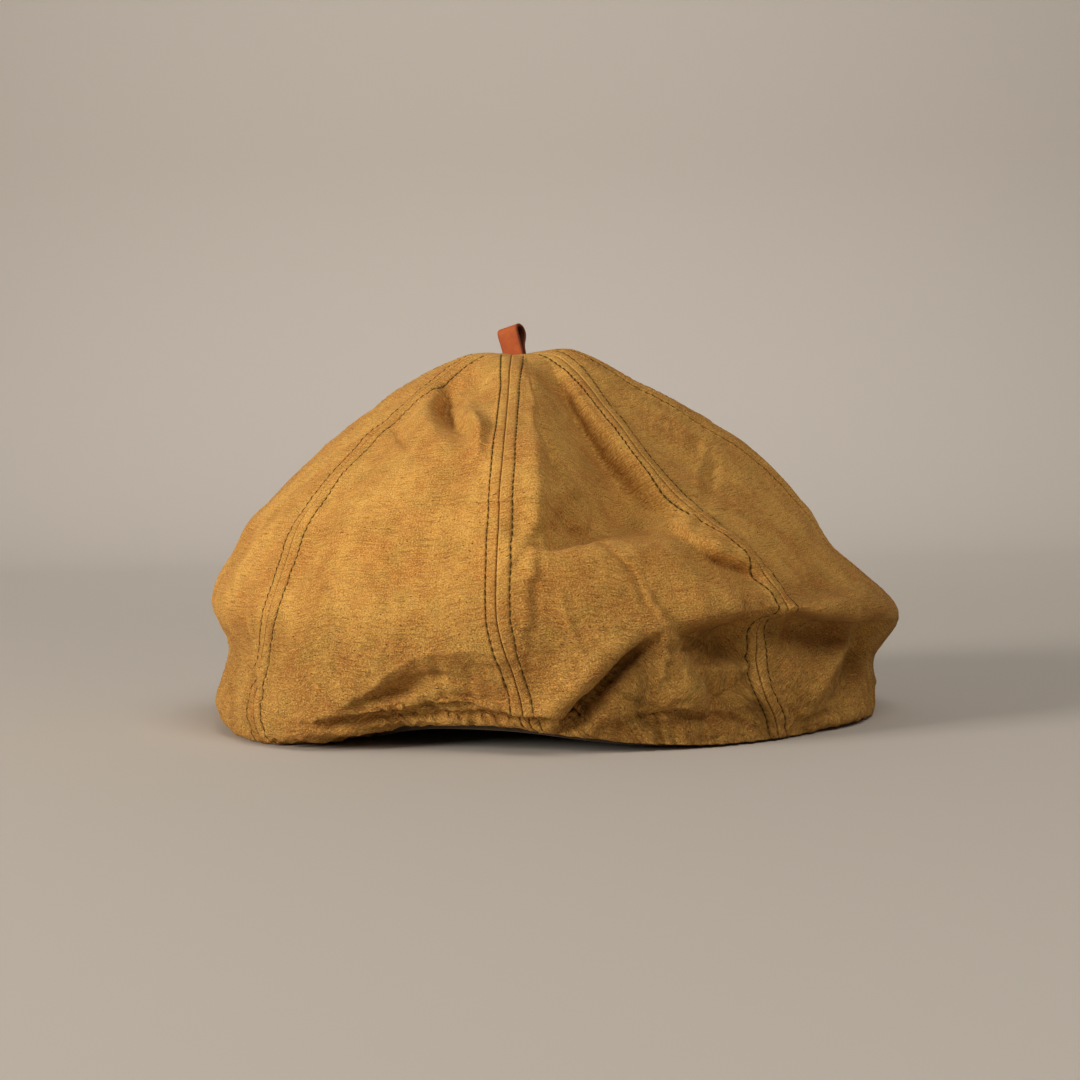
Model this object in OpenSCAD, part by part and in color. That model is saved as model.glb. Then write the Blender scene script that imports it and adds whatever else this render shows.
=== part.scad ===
// Eight-gore cloth beret, standing slumped on its hem, with a leather tip loop.
// Millimetres. +Z up, origin on the floor under the middle of the beret's box.
// -Y is the front. Azimuths are measured from the front towards +X.

/* [Cloth] */
// Thickness of the crown cloth
cloth_t = 0.9; // [0.6:0.1:1.2]
// Gap between neighbouring panels along a seam
seam_gap = 0.6; // [0.4:0.1:1.0]
// Width of the tape over each seam, inside
tape_w = 10; // [8:0.5:12]
// Thickness of the seam tape
tape_t = 0.6; // [0.4:0.1:0.8]
// Clearance between layers of cloth
layer_gap = 0.35; // [0.3:0.05:0.5]

/* [Topstitching] */
// Distance of each topstitch row from its seam
row_offset = 4.2; // [4:0.2:6]
// Width of a row of thread
thread_w = 0.6; // [0.4:0.1:0.8]

/* [Hem] */
// Inner radius of the sweatband
band_r = 86.5; // [85:0.5:87]
// Height of the sweatband
band_h = 24; // [18:1:28]
// Thickness of the sweatband
band_t = 1.2; // [0.8:0.1:1.4]
// Height of the elastic in the hem casing
elastic_h = 6; // [4:0.5:7]

/* [Tip loop] */
// Width of the leather strap
strap_w = 10; // [8:0.5:10]
// Thickness of the leather
strap_t = 1.2; // [1:0.1:1.3]
// Radius of the hole through the loop
loop_hole_r = 2.2; // [1.8:0.1:2.3]
// Height of the hole's centre above the bend
loop_rise = 4.6; // [4.4:0.1:5.4]
// Turn of the loop about the vertical
loop_turn = -38; // [-45:1:-30]
// Lean of the loop to its left
loop_lean = 12; // [0:1:14]

/* [Hidden] */

// The cloth is a net of eleven rings, from the tip down to the hem. Each ring has its
// own centre, and a radius and a height at sixteen azimuths: back, then round by the
// left (-90), the front (0) and the right (90).
centre_x = [-13, -12, -9, -6, -3, -1,  0,  0,  1,  4,  10];
centre_y = [  3,   3,  2,  1,  0,  0,  0, -1, -3, -8, -17];
//          back           left            front           right
ring_r = [
  [  3,  3,  3,  3,  3,  3,  3,  3,  3,  3,  3,  3,  3,  3,  3,  3],
  [ 18, 18, 18, 18, 18, 17, 17, 17, 17, 18, 20, 22, 21, 19, 18, 18],
  [ 46, 46, 46, 45, 45, 44, 44, 45, 45, 43, 42, 43, 44, 45, 46, 46],
  [ 78, 78, 78, 77, 77, 76, 75, 76, 76, 70, 68, 73, 76, 77, 78, 78],
  [102,103,104,104,105,102, 99,100, 99, 92, 91, 95, 97,100,102,102],
  [112,113,114,115,116,113,110,109,109,106,104,104,105,109,112,112],
  [119,120,123,125,126,123,120,118,117,113,118,124,126,124,121,119],
  [116,117,118,119,120,120,120,119,118,114,108,115,118,117,117,116],
  [119,120,122,124,125,125,124,115,114,113,111,114,117,118,119,119],
  [110,110,111,112,115,118,117,107,106,105,105,110,111,110,110,110],
  [ 94, 94, 94, 94, 94, 94, 94, 94, 94, 94, 94, 94, 94, 94, 94, 94]];
ring_z = [
  [134,134,134,134,134,134,134,134,134,134,134,134,134,134,134,134],
  [134,134,134,134,134,134,133,133,132,132,132,134,135,135,134,134],
  [122,122,122,122,123,121,119,121,121,116,115,119,122,123,122,122],
  [101,101,101,101,102,100, 98,101,101, 95, 92, 96,101,102,101,101],
  [ 76, 76, 77, 77, 78, 77, 76, 76, 77, 71, 68, 70, 77, 77, 76, 76],
  [ 60, 60, 62, 63, 65, 63, 61, 60, 60, 57, 56, 57, 61, 61, 60, 60],
  [ 40, 41, 43, 45, 46, 46, 46, 44, 42, 40, 44, 42, 36, 36, 38, 39],
  [ 25, 26, 27, 28, 28, 28, 29, 29, 27, 26, 35, 28, 19, 20, 23, 24],
  [  9,  9,  9,  8,  8,  8,  9, 15, 14, 14, 20, 13, 10,  9,  9,  9],
  [  0,  0,  0,  0,  0,  0,  1, 11,  9,  8,  8,  2,  0,  0,  0,  0],
  [  2,  2,  2,  2,  2,  2,  3,  8,  6,  0,  0,  1,  2,  2,  2,  2]];
// Azimuth of each seam on each ring, from back left round by the front
seam_az = [
  [-139,-139,-139,-139,-139,-139,-139,-139,-139,-139,-139],
  [ -98, -98, -98, -97, -97, -96, -96, -96, -96, -97, -97],
  [ -56, -60, -56, -55, -55, -54, -52, -56, -55, -56, -55],
  [  -6,  -6,  -7,  -7,  -8,  -9,  -9,  -7,  -6,  -8, -10],
  [  33,  32,  31,  32,  36,  39,  40,  38,  39,  41,  42],
  [  82,  82,  81,  81,  83,  85,  86,  86,  86,  86,  86],
  [ 130, 130, 130, 130, 130, 130, 130, 130, 130, 130, 130],
  [ 176, 176, 176, 176, 176, 176, 176, 176, 176, 176, 176]];

rows = 32;        // bands of facets from the tip to the hem
cols = 9;         // facets across a panel
last = 10;        // last ring
floor_z = 0.05;   // the cloth never goes lower

// Smooth curve through b and c
function crv(a, b, c, d, t) =
  b + 0.5*t*(c - a + t*(2*a - 5*b + 4*c - d + t*(3*(b - c) + d - a)));
// A list read smoothly at any place along it, with its ends held
function along(l, s) =
  let (i = min(len(l) - 2, floor(s)), t = s - i, n = len(l) - 1)
  crv(l[max(i - 1, 0)], l[i], l[i + 1], l[min(i + 2, n)], t);
// A ring's list read smoothly at an azimuth
function round_ring(l, az) =
  let (a = ((az + 180)/22.5 + 32) % 16, i = floor(a) % 16, t = a - floor(a))
  crv(l[(i + 15) % 16], l[i], l[(i + 1) % 16], l[(i + 2) % 16], t);
function net(tab, s, az) =
  let (i = min(last - 1, floor(s)), t = s - i)
  crv(round_ring(tab[max(i - 1, 0)], az), round_ring(tab[i], az),
      round_ring(tab[i + 1], az), round_ring(tab[min(i + 2, last)], az), t);
function radius_at(s, az) = net(ring_r, s, az);
// A point of the outer surface, s rings down from the tip
function skin(s, az) =
  let (r = radius_at(s, az))
  [along(centre_x, s) + r*sin(az),
   along(centre_y, s) - r*cos(az),
   max(floor_z, net(ring_z, s, az))];
function unit(v) = v/norm(v);
function outward(s, az) =
  let (e = 0.06, s1 = min(last, s + e), s0 = max(0, s - e))
  unit(cross(skin(s1, az) - skin(s0, az), skin(s, az + 1.2) - skin(s, az - 1.2)));
// A point d mm out from the surface
function shifted(s, az, d) =
  let (p = skin(s, az) + d*outward(s, az)) [p[0], p[1], max(floor_z, p[2])];
function seam(k, s) = along(seam_az[k % 8], s) + (k >= 8 ? 360 : 0);
// The angle that spans w mm of cloth
function span(w, s, az) = asin(min(0.9, w/max(radius_at(s, az), 1)));

// A closed sheet between two grids of points, grid[row][col], outer first
module sheet_between(outer, inner) {
  nr = len(outer); nc = len(outer[0]);
  n = nr*nc;
  points = concat([for (r = outer) each r], [for (r = inner) each r]);
  function id(i, j) = i*nc + j;
  faces = concat(
    [for (i = [0:nr - 2], j = [0:nc - 2])
      each [[id(i, j), id(i + 1, j), id(i + 1, j + 1)],
            [id(i, j), id(i + 1, j + 1), id(i, j + 1)]]],
    [for (i = [0:nr - 2], j = [0:nc - 2])
      each [[n + id(i, j), n + id(i + 1, j + 1), n + id(i + 1, j)],
            [n + id(i, j), n + id(i, j + 1), n + id(i + 1, j + 1)]]],
    [for (i = [0:nr - 2])
      each [[id(i, 0), n + id(i, 0), n + id(i + 1, 0)],
            [id(i, 0), n + id(i + 1, 0), id(i + 1, 0)],
            [id(i, nc - 1), n + id(i + 1, nc - 1), n + id(i, nc - 1)],
            [id(i, nc - 1), id(i + 1, nc - 1), n + id(i + 1, nc - 1)]]],
    [for (j = [0:nc - 2])
      each [[id(0, j), n + id(0, j + 1), n + id(0, j)],
            [id(0, j), id(0, j + 1), n + id(0, j + 1)],
            [id(nr - 1, j), n + id(nr - 1, j), n + id(nr - 1, j + 1)],
            [id(nr - 1, j), n + id(nr - 1, j + 1), id(nr - 1, j + 1)]]]);
  polyhedron(points, faces, convexity = 8);
}

// One gore, between seam k and the next, from the tip to the hem
module panel(k) {
  function az(s, j) =
    let (a = seam(k, s), b = seam(k + 1, s), g = span(seam_gap/2, s, a))
    (a + g) + (b - a - 2*g)*j/cols;
  function at(i, j, d) = let (s = last*i/rows) shifted(s, az(s, j), d);
  color([0.72, 0.52, 0.22]) sheet_between(
    [for (i = [0:rows]) [for (j = [0:cols]) at(i, j, 0)]],
    [for (i = [0:rows]) [for (j = [0:cols]) at(i, j, -cloth_t)]]);
}

// A strip that follows seam k, from ring s0 to s1, w wide, with its middle off mm
// round from the seam, between depths d0 (outer) and d1 (inner)
module strip(k, off, w, d0, d1, i0, i1, n) {
  function at(i, j, d) =
    let (s = last*i/rows, a = seam(k, s), q = off + w*(j/n - 0.5))
    shifted(s, a + (q < 0 ? -1 : 1)*span(abs(q), s, a), d);
  sheet_between(
    [for (i = [i0:i1]) [for (j = [0:n]) at(i, j, d0)]],
    [for (i = [i0:i1]) [for (j = [0:n]) at(i, j, d1)]]);
}

module tape(k) {
  color([0.62, 0.50, 0.30])
    strip(k, 0, tape_w, -cloth_t - layer_gap, -cloth_t - layer_gap - tape_t, 4, 25, 4);
}

module topstitch_pair(k) {
  color([0.30, 0.22, 0.10]) {
    strip(k, -row_offset, thread_w, layer_gap + 0.4, layer_gap, 5, 25, 1);
    strip(k,  row_offset, thread_w, layer_gap + 0.4, layer_gap, 5, 25, 1);
  }
}

// Ring round the head opening
module hem_ring(r0, r1, z0, z1)
  translate([centre_x[last], centre_y[last], 0]) rotate_extrude($fn = 96)
    translate([r0, z0]) square([r1 - r0, z1 - z0]);

module sweatband()
  color([0.20, 0.17, 0.13]) hem_ring(band_r, band_r + band_t, 0, band_h);

module hem_elastic()
  color([0.90, 0.88, 0.82])
    hem_ring(band_r + band_t + 0.4, band_r + band_t + 1.6, 3, 3 + elastic_h);

// The row that closes the casing, on the inside of the sweatband
module hem_stitching()
  color([0.30, 0.22, 0.10]) hem_ring(band_r - 0.65, band_r - 0.25, 10.5, 11.1);

// The loop stands on its bend line, which crosses the tip. It leans along that line.
tip_z = 134;
bend_z = tip_z + strap_t + 0.7 + strap_w/2*sin(loop_lean);

// Strap across local X; its two leaves are pinched below the hole
module top_loop() {
  outer_r = loop_hole_r + strap_t;
  color([0.70, 0.36, 0.16])
    translate([centre_x[0], centre_y[0], bend_z]) rotate([0, -loop_lean, loop_turn])
      rotate([0, -90, 0]) translate([0, 0, -strap_w/2]) difference() {
        union() {
          translate([loop_rise, 0, 0]) cylinder(h = strap_w, r = outer_r, $fn = 64);
          translate([0, -strap_t, 0]) cube([loop_rise, 2*strap_t, strap_w]);
          cylinder(h = strap_w, r = strap_t, $fn = 48);
        }
        translate([loop_rise, 0, -1]) cylinder(h = strap_w + 2, r = loop_hole_r, $fn = 64);
      }
}

// The strap's tails, spread flat under the cloth of the tip
module loop_tails() {
  z = tip_z - cloth_t - layer_gap - strap_t - 1.2;
  color([0.62, 0.32, 0.14]) translate([centre_x[0], centre_y[0], z])
    rotate([0, 0, loop_turn]) for (m = [0, 1]) mirror([0, m, 0])
      translate([-strap_w/2, 0.2, 0]) cube([strap_w, 9, strap_t]);
}

// Two bars of thread under the tails
module loop_tack() {
  z = tip_z - cloth_t - layer_gap - strap_t - 1.2;
  color([0.30, 0.22, 0.10]) translate([centre_x[0], centre_y[0], z - 0.55])
    rotate([0, 0, loop_turn]) for (m = [0, 1]) mirror([0, m, 0])
      translate([-3.5, 4, 0]) cube([7, 1, 0.5]);
}

panel(0);  // crown_panel_1
panel(1);  // crown_panel_2
panel(2);  // crown_panel_3
panel(3);  // crown_panel_4
panel(4);  // crown_panel_5
panel(5);  // crown_panel_6
panel(6);  // crown_panel_7
panel(7);  // crown_panel_8
tape(0);  // seam_tape_1
tape(1);  // seam_tape_2
tape(2);  // seam_tape_3
tape(3);  // seam_tape_4
tape(4);  // seam_tape_5
tape(5);  // seam_tape_6
tape(6);  // seam_tape_7
tape(7);  // seam_tape_8
topstitch_pair(0);  // topstitching_1
topstitch_pair(1);  // topstitching_2
topstitch_pair(2);  // topstitching_3
topstitch_pair(3);  // topstitching_4
topstitch_pair(4);  // topstitching_5
topstitch_pair(5);  // topstitching_6
topstitch_pair(6);  // topstitching_7
topstitch_pair(7);  // topstitching_8
hem_stitching();
hem_elastic();
sweatband();
top_loop();
loop_tails();
loop_tack();
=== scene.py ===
# Eight-gore washed cotton-linen beret, slumped on its hem, with a leather tip loop.
# Lengths in the shape functions are millimetres; Blender objects are in metres.
import bpy, math
import numpy as np
from mathutils import Vector, Matrix


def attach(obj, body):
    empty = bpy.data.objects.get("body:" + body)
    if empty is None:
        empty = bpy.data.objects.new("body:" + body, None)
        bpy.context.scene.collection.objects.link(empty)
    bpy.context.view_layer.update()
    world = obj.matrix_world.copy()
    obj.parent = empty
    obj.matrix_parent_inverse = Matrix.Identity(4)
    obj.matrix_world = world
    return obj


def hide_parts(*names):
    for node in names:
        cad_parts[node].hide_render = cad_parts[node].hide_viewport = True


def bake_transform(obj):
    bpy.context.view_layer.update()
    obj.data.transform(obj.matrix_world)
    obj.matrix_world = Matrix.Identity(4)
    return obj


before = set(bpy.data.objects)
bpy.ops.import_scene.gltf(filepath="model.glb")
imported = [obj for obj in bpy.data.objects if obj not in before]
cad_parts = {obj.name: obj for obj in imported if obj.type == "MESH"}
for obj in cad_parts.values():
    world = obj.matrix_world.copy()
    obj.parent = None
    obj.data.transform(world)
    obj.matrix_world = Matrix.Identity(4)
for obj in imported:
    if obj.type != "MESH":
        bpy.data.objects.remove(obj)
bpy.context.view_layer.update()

MM = 0.001
rng = np.random.default_rng(20240611)

# ------------------------------------------------------------------ the cloth's net
# Rings from the tip down to the hem, the same as the CAD's, with the same azimuths:
# back, round by the left (-90), the front (0) and the right (90).
CX = np.array([-13, -12, -9, -6, -3, -1, 0, 0, 1, 4, 10], float)
CY = np.array([3, 3, 2, 1, 0, 0, 0, -1, -3, -8, -17], float)
RR = np.array([
    [1.5] * 16,
    [18, 18, 18, 18, 18, 17, 17, 17, 17, 18, 20, 22, 21, 19, 18, 18],
    [46, 46, 46, 45, 45, 44, 44, 45, 45, 43, 42, 43, 44, 45, 46, 46],
    [78, 78, 78, 77, 77, 76, 75, 76, 76, 71, 69, 73, 76, 77, 78, 78],
    [102, 103, 104, 104, 105, 102, 99, 100, 99, 94, 92, 95, 97, 100, 102, 102],
    [112, 113, 114, 115, 116, 113, 110, 109, 109, 106, 104, 104, 105, 109, 112, 112],
    [119, 120, 123, 125, 126, 123, 120, 118, 117, 113, 118, 124, 126, 124, 121, 119],
    [116, 117, 118, 119, 120, 120, 120, 119, 118, 114, 108, 115, 118, 117, 117, 116],
    [119, 120, 122, 124, 125, 125, 124, 115, 114, 113, 111, 114, 117, 118, 119, 119],
    [110, 110, 111, 112, 115, 118, 117, 107, 106, 105, 105, 110, 111, 110, 110, 110],
    [94] * 16], float)
RZ = np.array([
    [134] * 16,
    [134, 134, 134, 134, 134, 134, 133, 133, 132, 132, 132, 134, 135, 135, 134, 134],
    [122, 122, 122, 122, 123, 121, 119, 121, 121, 117, 116, 119, 122, 123, 122, 122],
    [101, 101, 101, 101, 102, 100, 98, 101, 101, 96, 93, 96, 101, 102, 101, 101],
    [76, 76, 77, 77, 78, 77, 76, 76, 77, 73, 71, 71, 77, 77, 76, 76],
    [60, 60, 62, 63, 65, 63, 61, 60, 60, 57, 56, 57, 61, 61, 60, 60],
    [40, 41, 43, 45, 46, 46, 46, 44, 42, 40, 44, 42, 36, 36, 38, 39],
    [25, 26, 27, 28, 28, 28, 29, 29, 27, 26, 35, 28, 19, 20, 23, 24],
    [9, 9, 9, 8, 8, 8, 9, 15, 14, 14, 20, 13, 10, 9, 9, 9],
    [0.6, 0.6, 0.6, 0.6, 0.6, 0.6, 1, 11, 9, 8, 8, 2, 0.6, 0.6, 0.6, 0.6],
    [2, 2, 2, 2, 2, 2, 3, 8, 6, 1, 1, 1.5, 2, 2, 2, 2]], float)
SEAMS = np.array([
    [-139] * 11,
    [-98, -98, -98, -97, -97, -96, -96, -96, -96, -97, -97],
    [-56, -60, -56, -55, -55, -54, -52, -56, -55, -56, -55],
    [-6, -6, -7, -7, -8, -9, -9, -7, -6, -8, -10],
    [40, 47, 37, 33.5, 37, 41, 41, 38.5, 36, 39.5, 42],
    [82, 82, 81, 81, 83, 85, 86, 86, 86, 86, 86],
    [130] * 11,
    [176] * 11], float)
LAST = 10


def crv(a, b, c, d, t):
    return b + 0.5 * t * (c - a + t * (2 * a - 5 * b + 4 * c - d + t * (3 * (b - c) + d - a)))


def along(l, s):
    n = len(l) - 1
    i = np.clip(np.floor(s).astype(int), 0, n - 1)
    return crv(l[np.maximum(i - 1, 0)], l[i], l[i + 1], l[np.minimum(i + 2, n)], s - i)


def ring_at(tab, row, az):
    a = ((az + 180) / 22.5) % 16
    i = np.floor(a).astype(int)
    t = a - i
    i = i % 16
    return crv(tab[row, (i + 15) % 16], tab[row, i], tab[row, (i + 1) % 16], tab[row, (i + 2) % 16], t)


def net(tab, s, az):
    i = np.clip(np.floor(s).astype(int), 0, LAST - 1)
    return crv(ring_at(tab, np.maximum(i - 1, 0), az), ring_at(tab, i, az),
               ring_at(tab, i + 1, az), ring_at(tab, np.minimum(i + 2, LAST), az), s - i)


def seam_az(k, s):
    """Azimuth of seam k (an array of ints, any turn) at ring s."""
    k = np.asarray(k)
    out = np.zeros(np.broadcast(k, s).shape)
    for m in range(8):
        sel = (k % 8) == m
        if np.any(sel):
            out = np.where(sel, along(SEAMS[m], s), out)
    return out + 360.0 * np.floor_divide(k, 8)


def azimuth(u, s):
    """u runs 0 to 8 round the crown, a whole number at each seam."""
    k = np.floor(u).astype(int)
    w = u - k
    return seam_az(k, s) * (1 - w) + seam_az(k + 1, s) * w


def skin(u, s):
    az = azimuth(u, s)
    r = net(RR, s, az)
    a = np.radians(az)
    return np.stack([along(CX, s) + r * np.sin(a), along(CY, s) - r * np.cos(a),
                     np.maximum(0.4, net(RZ, s, az))], -1)


# ------------------------------------------------------------------ grids
def normals(P, wrap=True):
    """Outward unit normals of a grid P[row, column], rows from the tip down."""
    dt = np.gradient(P, axis=0)
    if wrap:
        du = 0.5 * (np.roll(P, -1, 1) - np.roll(P, 1, 1))
    else:
        du = np.gradient(P, axis=1)
    n = np.cross(dt, du)
    return n / np.maximum(np.linalg.norm(n, axis=-1, keepdims=True), 1e-9)


def blur(F, times, wrap=True):
    """Small smoothing of a grid field; columns wrap round."""
    for _ in range(times):
        F = 0.25 * np.roll(F, 1, 1) + 0.5 * F + 0.25 * np.roll(F, -1, 1)
        G = F.copy()
        G[1:-1] = 0.25 * F[:-2] + 0.5 * F[1:-1] + 0.25 * F[2:]
        F = G
    return F


def hash3(i, j, k, seed):
    h = (i.astype(np.int64) * 374761393 + j.astype(np.int64) * 668265263 +
         k.astype(np.int64) * 2147483647 + seed * 974711) & 0xFFFFFFFF
    h = ((h ^ (h >> 13)) * 1274126177) & 0xFFFFFFFF
    h = ((h ^ (h >> 16)) * 2246822519) & 0xFFFFFFFF
    return ((h ^ (h >> 15)) & 0xFFFFFF) / float(0xFFFFFF) * 2 - 1


def noise3(P, scale, seed=0):
    """Smooth value noise of points P (..., 3), about -1 to 1, with cells of the size scale."""
    Q = np.asarray(P, float) / scale
    I = np.floor(Q).astype(np.int64)
    F = Q - I
    F = F * F * F * (F * (F * 6 - 15) + 10)
    out = 0
    for dx in (0, 1):
        for dy in (0, 1):
            for dz in (0, 1):
                w = (F[..., 0] if dx else 1 - F[..., 0]) * (F[..., 1] if dy else 1 - F[..., 1]) * \
                    (F[..., 2] if dz else 1 - F[..., 2])
                out = out + w * hash3(I[..., 0] + dx, I[..., 1] + dy, I[..., 2] + dz, seed)
    return out


def smooth(a, b, x):
    t = np.clip((x - a) / (b - a), 0, 1)
    return t * t * (3 - 2 * t)


def polyline_field(X, Z, pts):
    """Nearest place on a polyline of (x, z): place 0 to 1 and signed distance, positive on its left."""
    pts = np.array(pts, float)
    seg = np.linalg.norm(np.diff(pts, axis=0), axis=1)
    cum = np.concatenate([[0], np.cumsum(seg)])
    best = np.full(X.shape, 1e9); place = np.zeros(X.shape); side = np.zeros(X.shape)
    for i in range(len(pts) - 1):
        a, b = pts[i], pts[i + 1]
        d = b - a
        t = np.clip(((X - a[0]) * d[0] + (Z - a[1]) * d[1]) / (d @ d), 0, 1)
        ex, ez = X - (a[0] + t * d[0]), Z - (a[1] + t * d[1])
        q = np.hypot(ex, ez)
        m = q < best
        best = np.where(m, q, best)
        place = np.where(m, (cum[i] + t * seg[i]) / cum[-1], place)
        side = np.where(m, np.sign(d[0] * ez - d[1] * ex), side)
    return place, best * side


# ------------------------------------------------------------------ the crown's shape
# Folds of the front, each a line of (x, z) in the front elevation, the push along the
# normal at its ends and middle, and its width on the left and the right of the line.
FOLDS = [
    # valley from the tip down the right of the middle panel, beside the right seam
    dict(line=[(-1, 133), (2, 126), (6, 116), (11, 107), (15.5, 100), (20.5, 93), (27, 84.5), (33.5, 78.5), (38.5, 74)],
         push=(-1.0, -3.5, -6.0, -8.5, -10.5, -9.5, -4.0), kind="vee", above=(62, 71),
         left=(4.0, 8.0, 13.0, 18.0, 25.0, 32.0, 26.0), right=(2.4, 3.2, 4.6, 5.8, 6.6, 6.8, 6.0)),
    # the middle seam stands up beside it
    dict(line=[(-9, 118), (-7, 105), (-5, 92), (-4, 80), (-5, 71)], push=(0.4, 2.8, 5.0, 6.0, 3.0), left=26.0, right=14.0),
    # its steep left wall: the middle seam's cloth stands over it
    dict(line=[(-5, 112), (-3, 100), (-3, 90), (-2, 81), (-3, 74), (-7, 69)], kind="step",
         push=(0.2, 1.2, 2.0, 2.2, 2.0, 0.6), left=7.0, right=18.0, edge=1.6),
    dict(line=[(-4, 114), (-2, 106), (-1, 96), (1, 88), (2, 83)], push=(-0.3, -1.2, -1.4, -1.2, -0.4), left=2.4, right=4.0),
    dict(line=[(8, 82), (4, 78), (1, 71), (0, 66)], push=(-0.6, -1.4, -1.8, -0.4), left=3.0, right=5.0),
    # the hollow sinks in towards its bottom edge
    dict(line=[(-3, 69), (5, 70.5), (14, 71.5), (26, 72.5), (36, 73.5)], push=(-0.6, -3.6, -5.2, -5.0, -2.0), left=13.0, right=4.2),
    # bottom edge of the hollow, and the slope under it that catches the light
    dict(line=[(-9, 68), (-2, 65), (7, 66), (17, 67), (29, 67), (41, 68)], kind="step",
         push=(-0.3, -1.2, -1.4, -1.2, -0.8, -0.2), left=8.0, right=12.0, edge=1.8),
    # knee of the right seam
    dict(line=[(47, 70), (54, 65), (63, 61), (70, 56)], push=(0.4, 3.0, 3.6, 0.8), left=7.0, right=4.0),
    dict(line=[(44, 65), (53, 59), (63, 54), (72, 49)], push=(-0.4, -2.4, -2.4, -0.4), left=3.0, right=5.0),
    # dent at the top left, its bright rim, and the dished cloth between it and the seam
    dict(line=[(-31, 124), (-36, 119), (-37, 113), (-35, 108), (-30, 104), (-26, 102)],
         push=(-1.5, -6.0, -8.0, -6.5, -4.5, -1.0), left=3.6, right=5.5),
    dict(line=[(-31, 108), (-27, 110), (-24, 107), (-24, 101), (-25, 95)], push=(0.6, 2.6, 3.2, 2.2, 0.4), left=3.0, right=2.6),
    dict(line=[(-34, 128), (-26, 123), (-19, 124)], push=(-2.0, -4.0, -2.0), left=7.0, right=7.0),
    dict(line=[(-30, 118), (-24, 115), (-18, 115)], push=(-1.4, -2.2, -1.0), left=6.0, right=5.0),
    dict(line=[(-46, 118), (-44, 110), (-40, 103)], push=(0.3, 1.4, 0.6), left=5.0, right=4.0),
    # big lip low on the right, over a deep recess
    dict(line=[(38, 33), (40, 38), (45, 40), (51, 41), (59, 42), (66, 43), (75, 43)], kind="lip",
         push=(2.5, 5.2, 6.4, 6.6, 5.6, 3.6, 1.6), left=9.0, right=9.0, edge=1.7, drop=0.5),
    dict(line=[(75, 43), (82, 41), (90, 39), (101, 38), (114, 36)], kind="lip",
         push=(1.6, 4.2, 5.4, 5.2, 3.4), left=6.0, right=9.0, edge=1.9, drop=0.6),
    dict(line=[(75, 46), (87, 48), (103, 49)], push=(-2.0, -4.4, -1.4), left=5.0, right=3.5),
    dict(line=[(46, 33), (54, 32), (57, 26), (55, 17)], push=(-4.5, -10.0, -9.0, -2.5), left=8.0, right=7.5),
    dict(line=[(40, 35), (43, 30), (45, 25), (48, 19), (49, 11)], kind="step",
         push=(1.5, 5.5, 6.5, 5.0, 1.2), left=13.0, right=9.0, edge=1.1),
    dict(line=[(55, 26), (51, 19), (49, 12)], push=(-0.5, -2.4, -0.8), left=2.6, right=4.0),
    dict(line=[(62, 34), (64, 26), (68, 17), (73, 9)], push=(0.4, 1.2, 1.4, 0.8), left=4.0, right=4.0),
    dict(line=[(86, 34), (82, 24), (78, 14)], push=(0.6, 2.4, 1.4), left=8.0, right=8.0),
    dict(line=[(103, 37), (100, 28), (91, 18), (85, 10), (81, 6)], push=(1.5, 4.8, 5.0, 3.6, 0.6), left=6.0, right=2.4),
    dict(line=[(108, 33), (106, 24), (99, 14), (92, 8)], push=(-2.5, -7.0, -6.0, -1.5), left=3.4, right=6.0),
    # long deep fold, low on the right of the middle
    dict(line=[(29.5, 34.5), (24, 31), (15.5, 23), (9, 16), (4, 10), (0.5, 6)], push=(-1.0, -4.0, -5.0, -5.0, -3.5, -1.0), left=2.2, right=3.2),
    dict(line=[(28.5, 35.5), (23, 32.5), (14.5, 25), (8, 18), (3, 11), (-0.5, 7)], kind="step",
         push=(1.5, 5.5, 7.0, 7.0, 5.0, 1.5), left=7.0, right=3.4, edge=0.8),
    dict(line=[(24, 38), (14, 33), (6, 26), (-1.5, 18), (-7, 11)], push=(0.6, 2.8, 3.4, 3.0, 1.4), left=5.0, right=4.0),
    dict(line=[(35, 29), (25, 22), (16, 14), (9, 8)], push=(0.4, 1.2, 1.4, 0.8), left=3.4, right=6.0),
    # casing: the belly tucks under along this line
    dict(line=[(-80, 9), (-70, 10), (-57, 11), (-44, 12), (-33, 13), (-18, 12.5), (-4, 11.5), (6, 9)], kind="step",
         push=(0.5, 2.0, 3.0, 3.4, 3.4, 3.2, 3.0, 0.8), left=7.0, right=6.0, edge=0.9),
    # the belly's edge low on the left, where the cloth turns to face down
    dict(line=[(-84, 5), (-77, 10), (-68, 16), (-60, 21), (-53, 27), (-46, 31), (-38, 33), (-26, 34), (-12, 32), (4, 26)], kind="under",
         push=(1.0, 5.5, 8.0, 9.0, 9.5, 9.0, 8.0, 5.5, 3.2, 1.0), left=1.0, right=15.0),
    dict(line=[(-72, 12), (-64, 15), (-55, 19), (-47, 23), (-39, 25)], push=(-0.6, -2.2, -2.6, -2.2, -0.5), left=2.4, right=4.0),
    dict(line=[(-60, 15), (-48, 17), (-36, 21), (-26, 22)], push=(0.3, 1.2, 1.2, 0.3), left=2.4, right=2.6),
    # faint upright creases in the right panel
    dict(line=[(58, 97), (55, 88), (52, 79)], push=(-0.2, -1.0, -0.3), left=3.0, right=4.0),
    dict(line=[(57, 108), (53, 101), (50, 94)], push=(-0.2, -1.3, -0.2), left=4.0, right=4.0),
    # waist on the left, dying away towards the front
    dict(line=[(-126, 30), (-116, 32), (-106, 33), (-96, 35)], push=(-2.2, -2.2, -1.4, -0.2), left=5.5, right=5.5),
]

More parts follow.
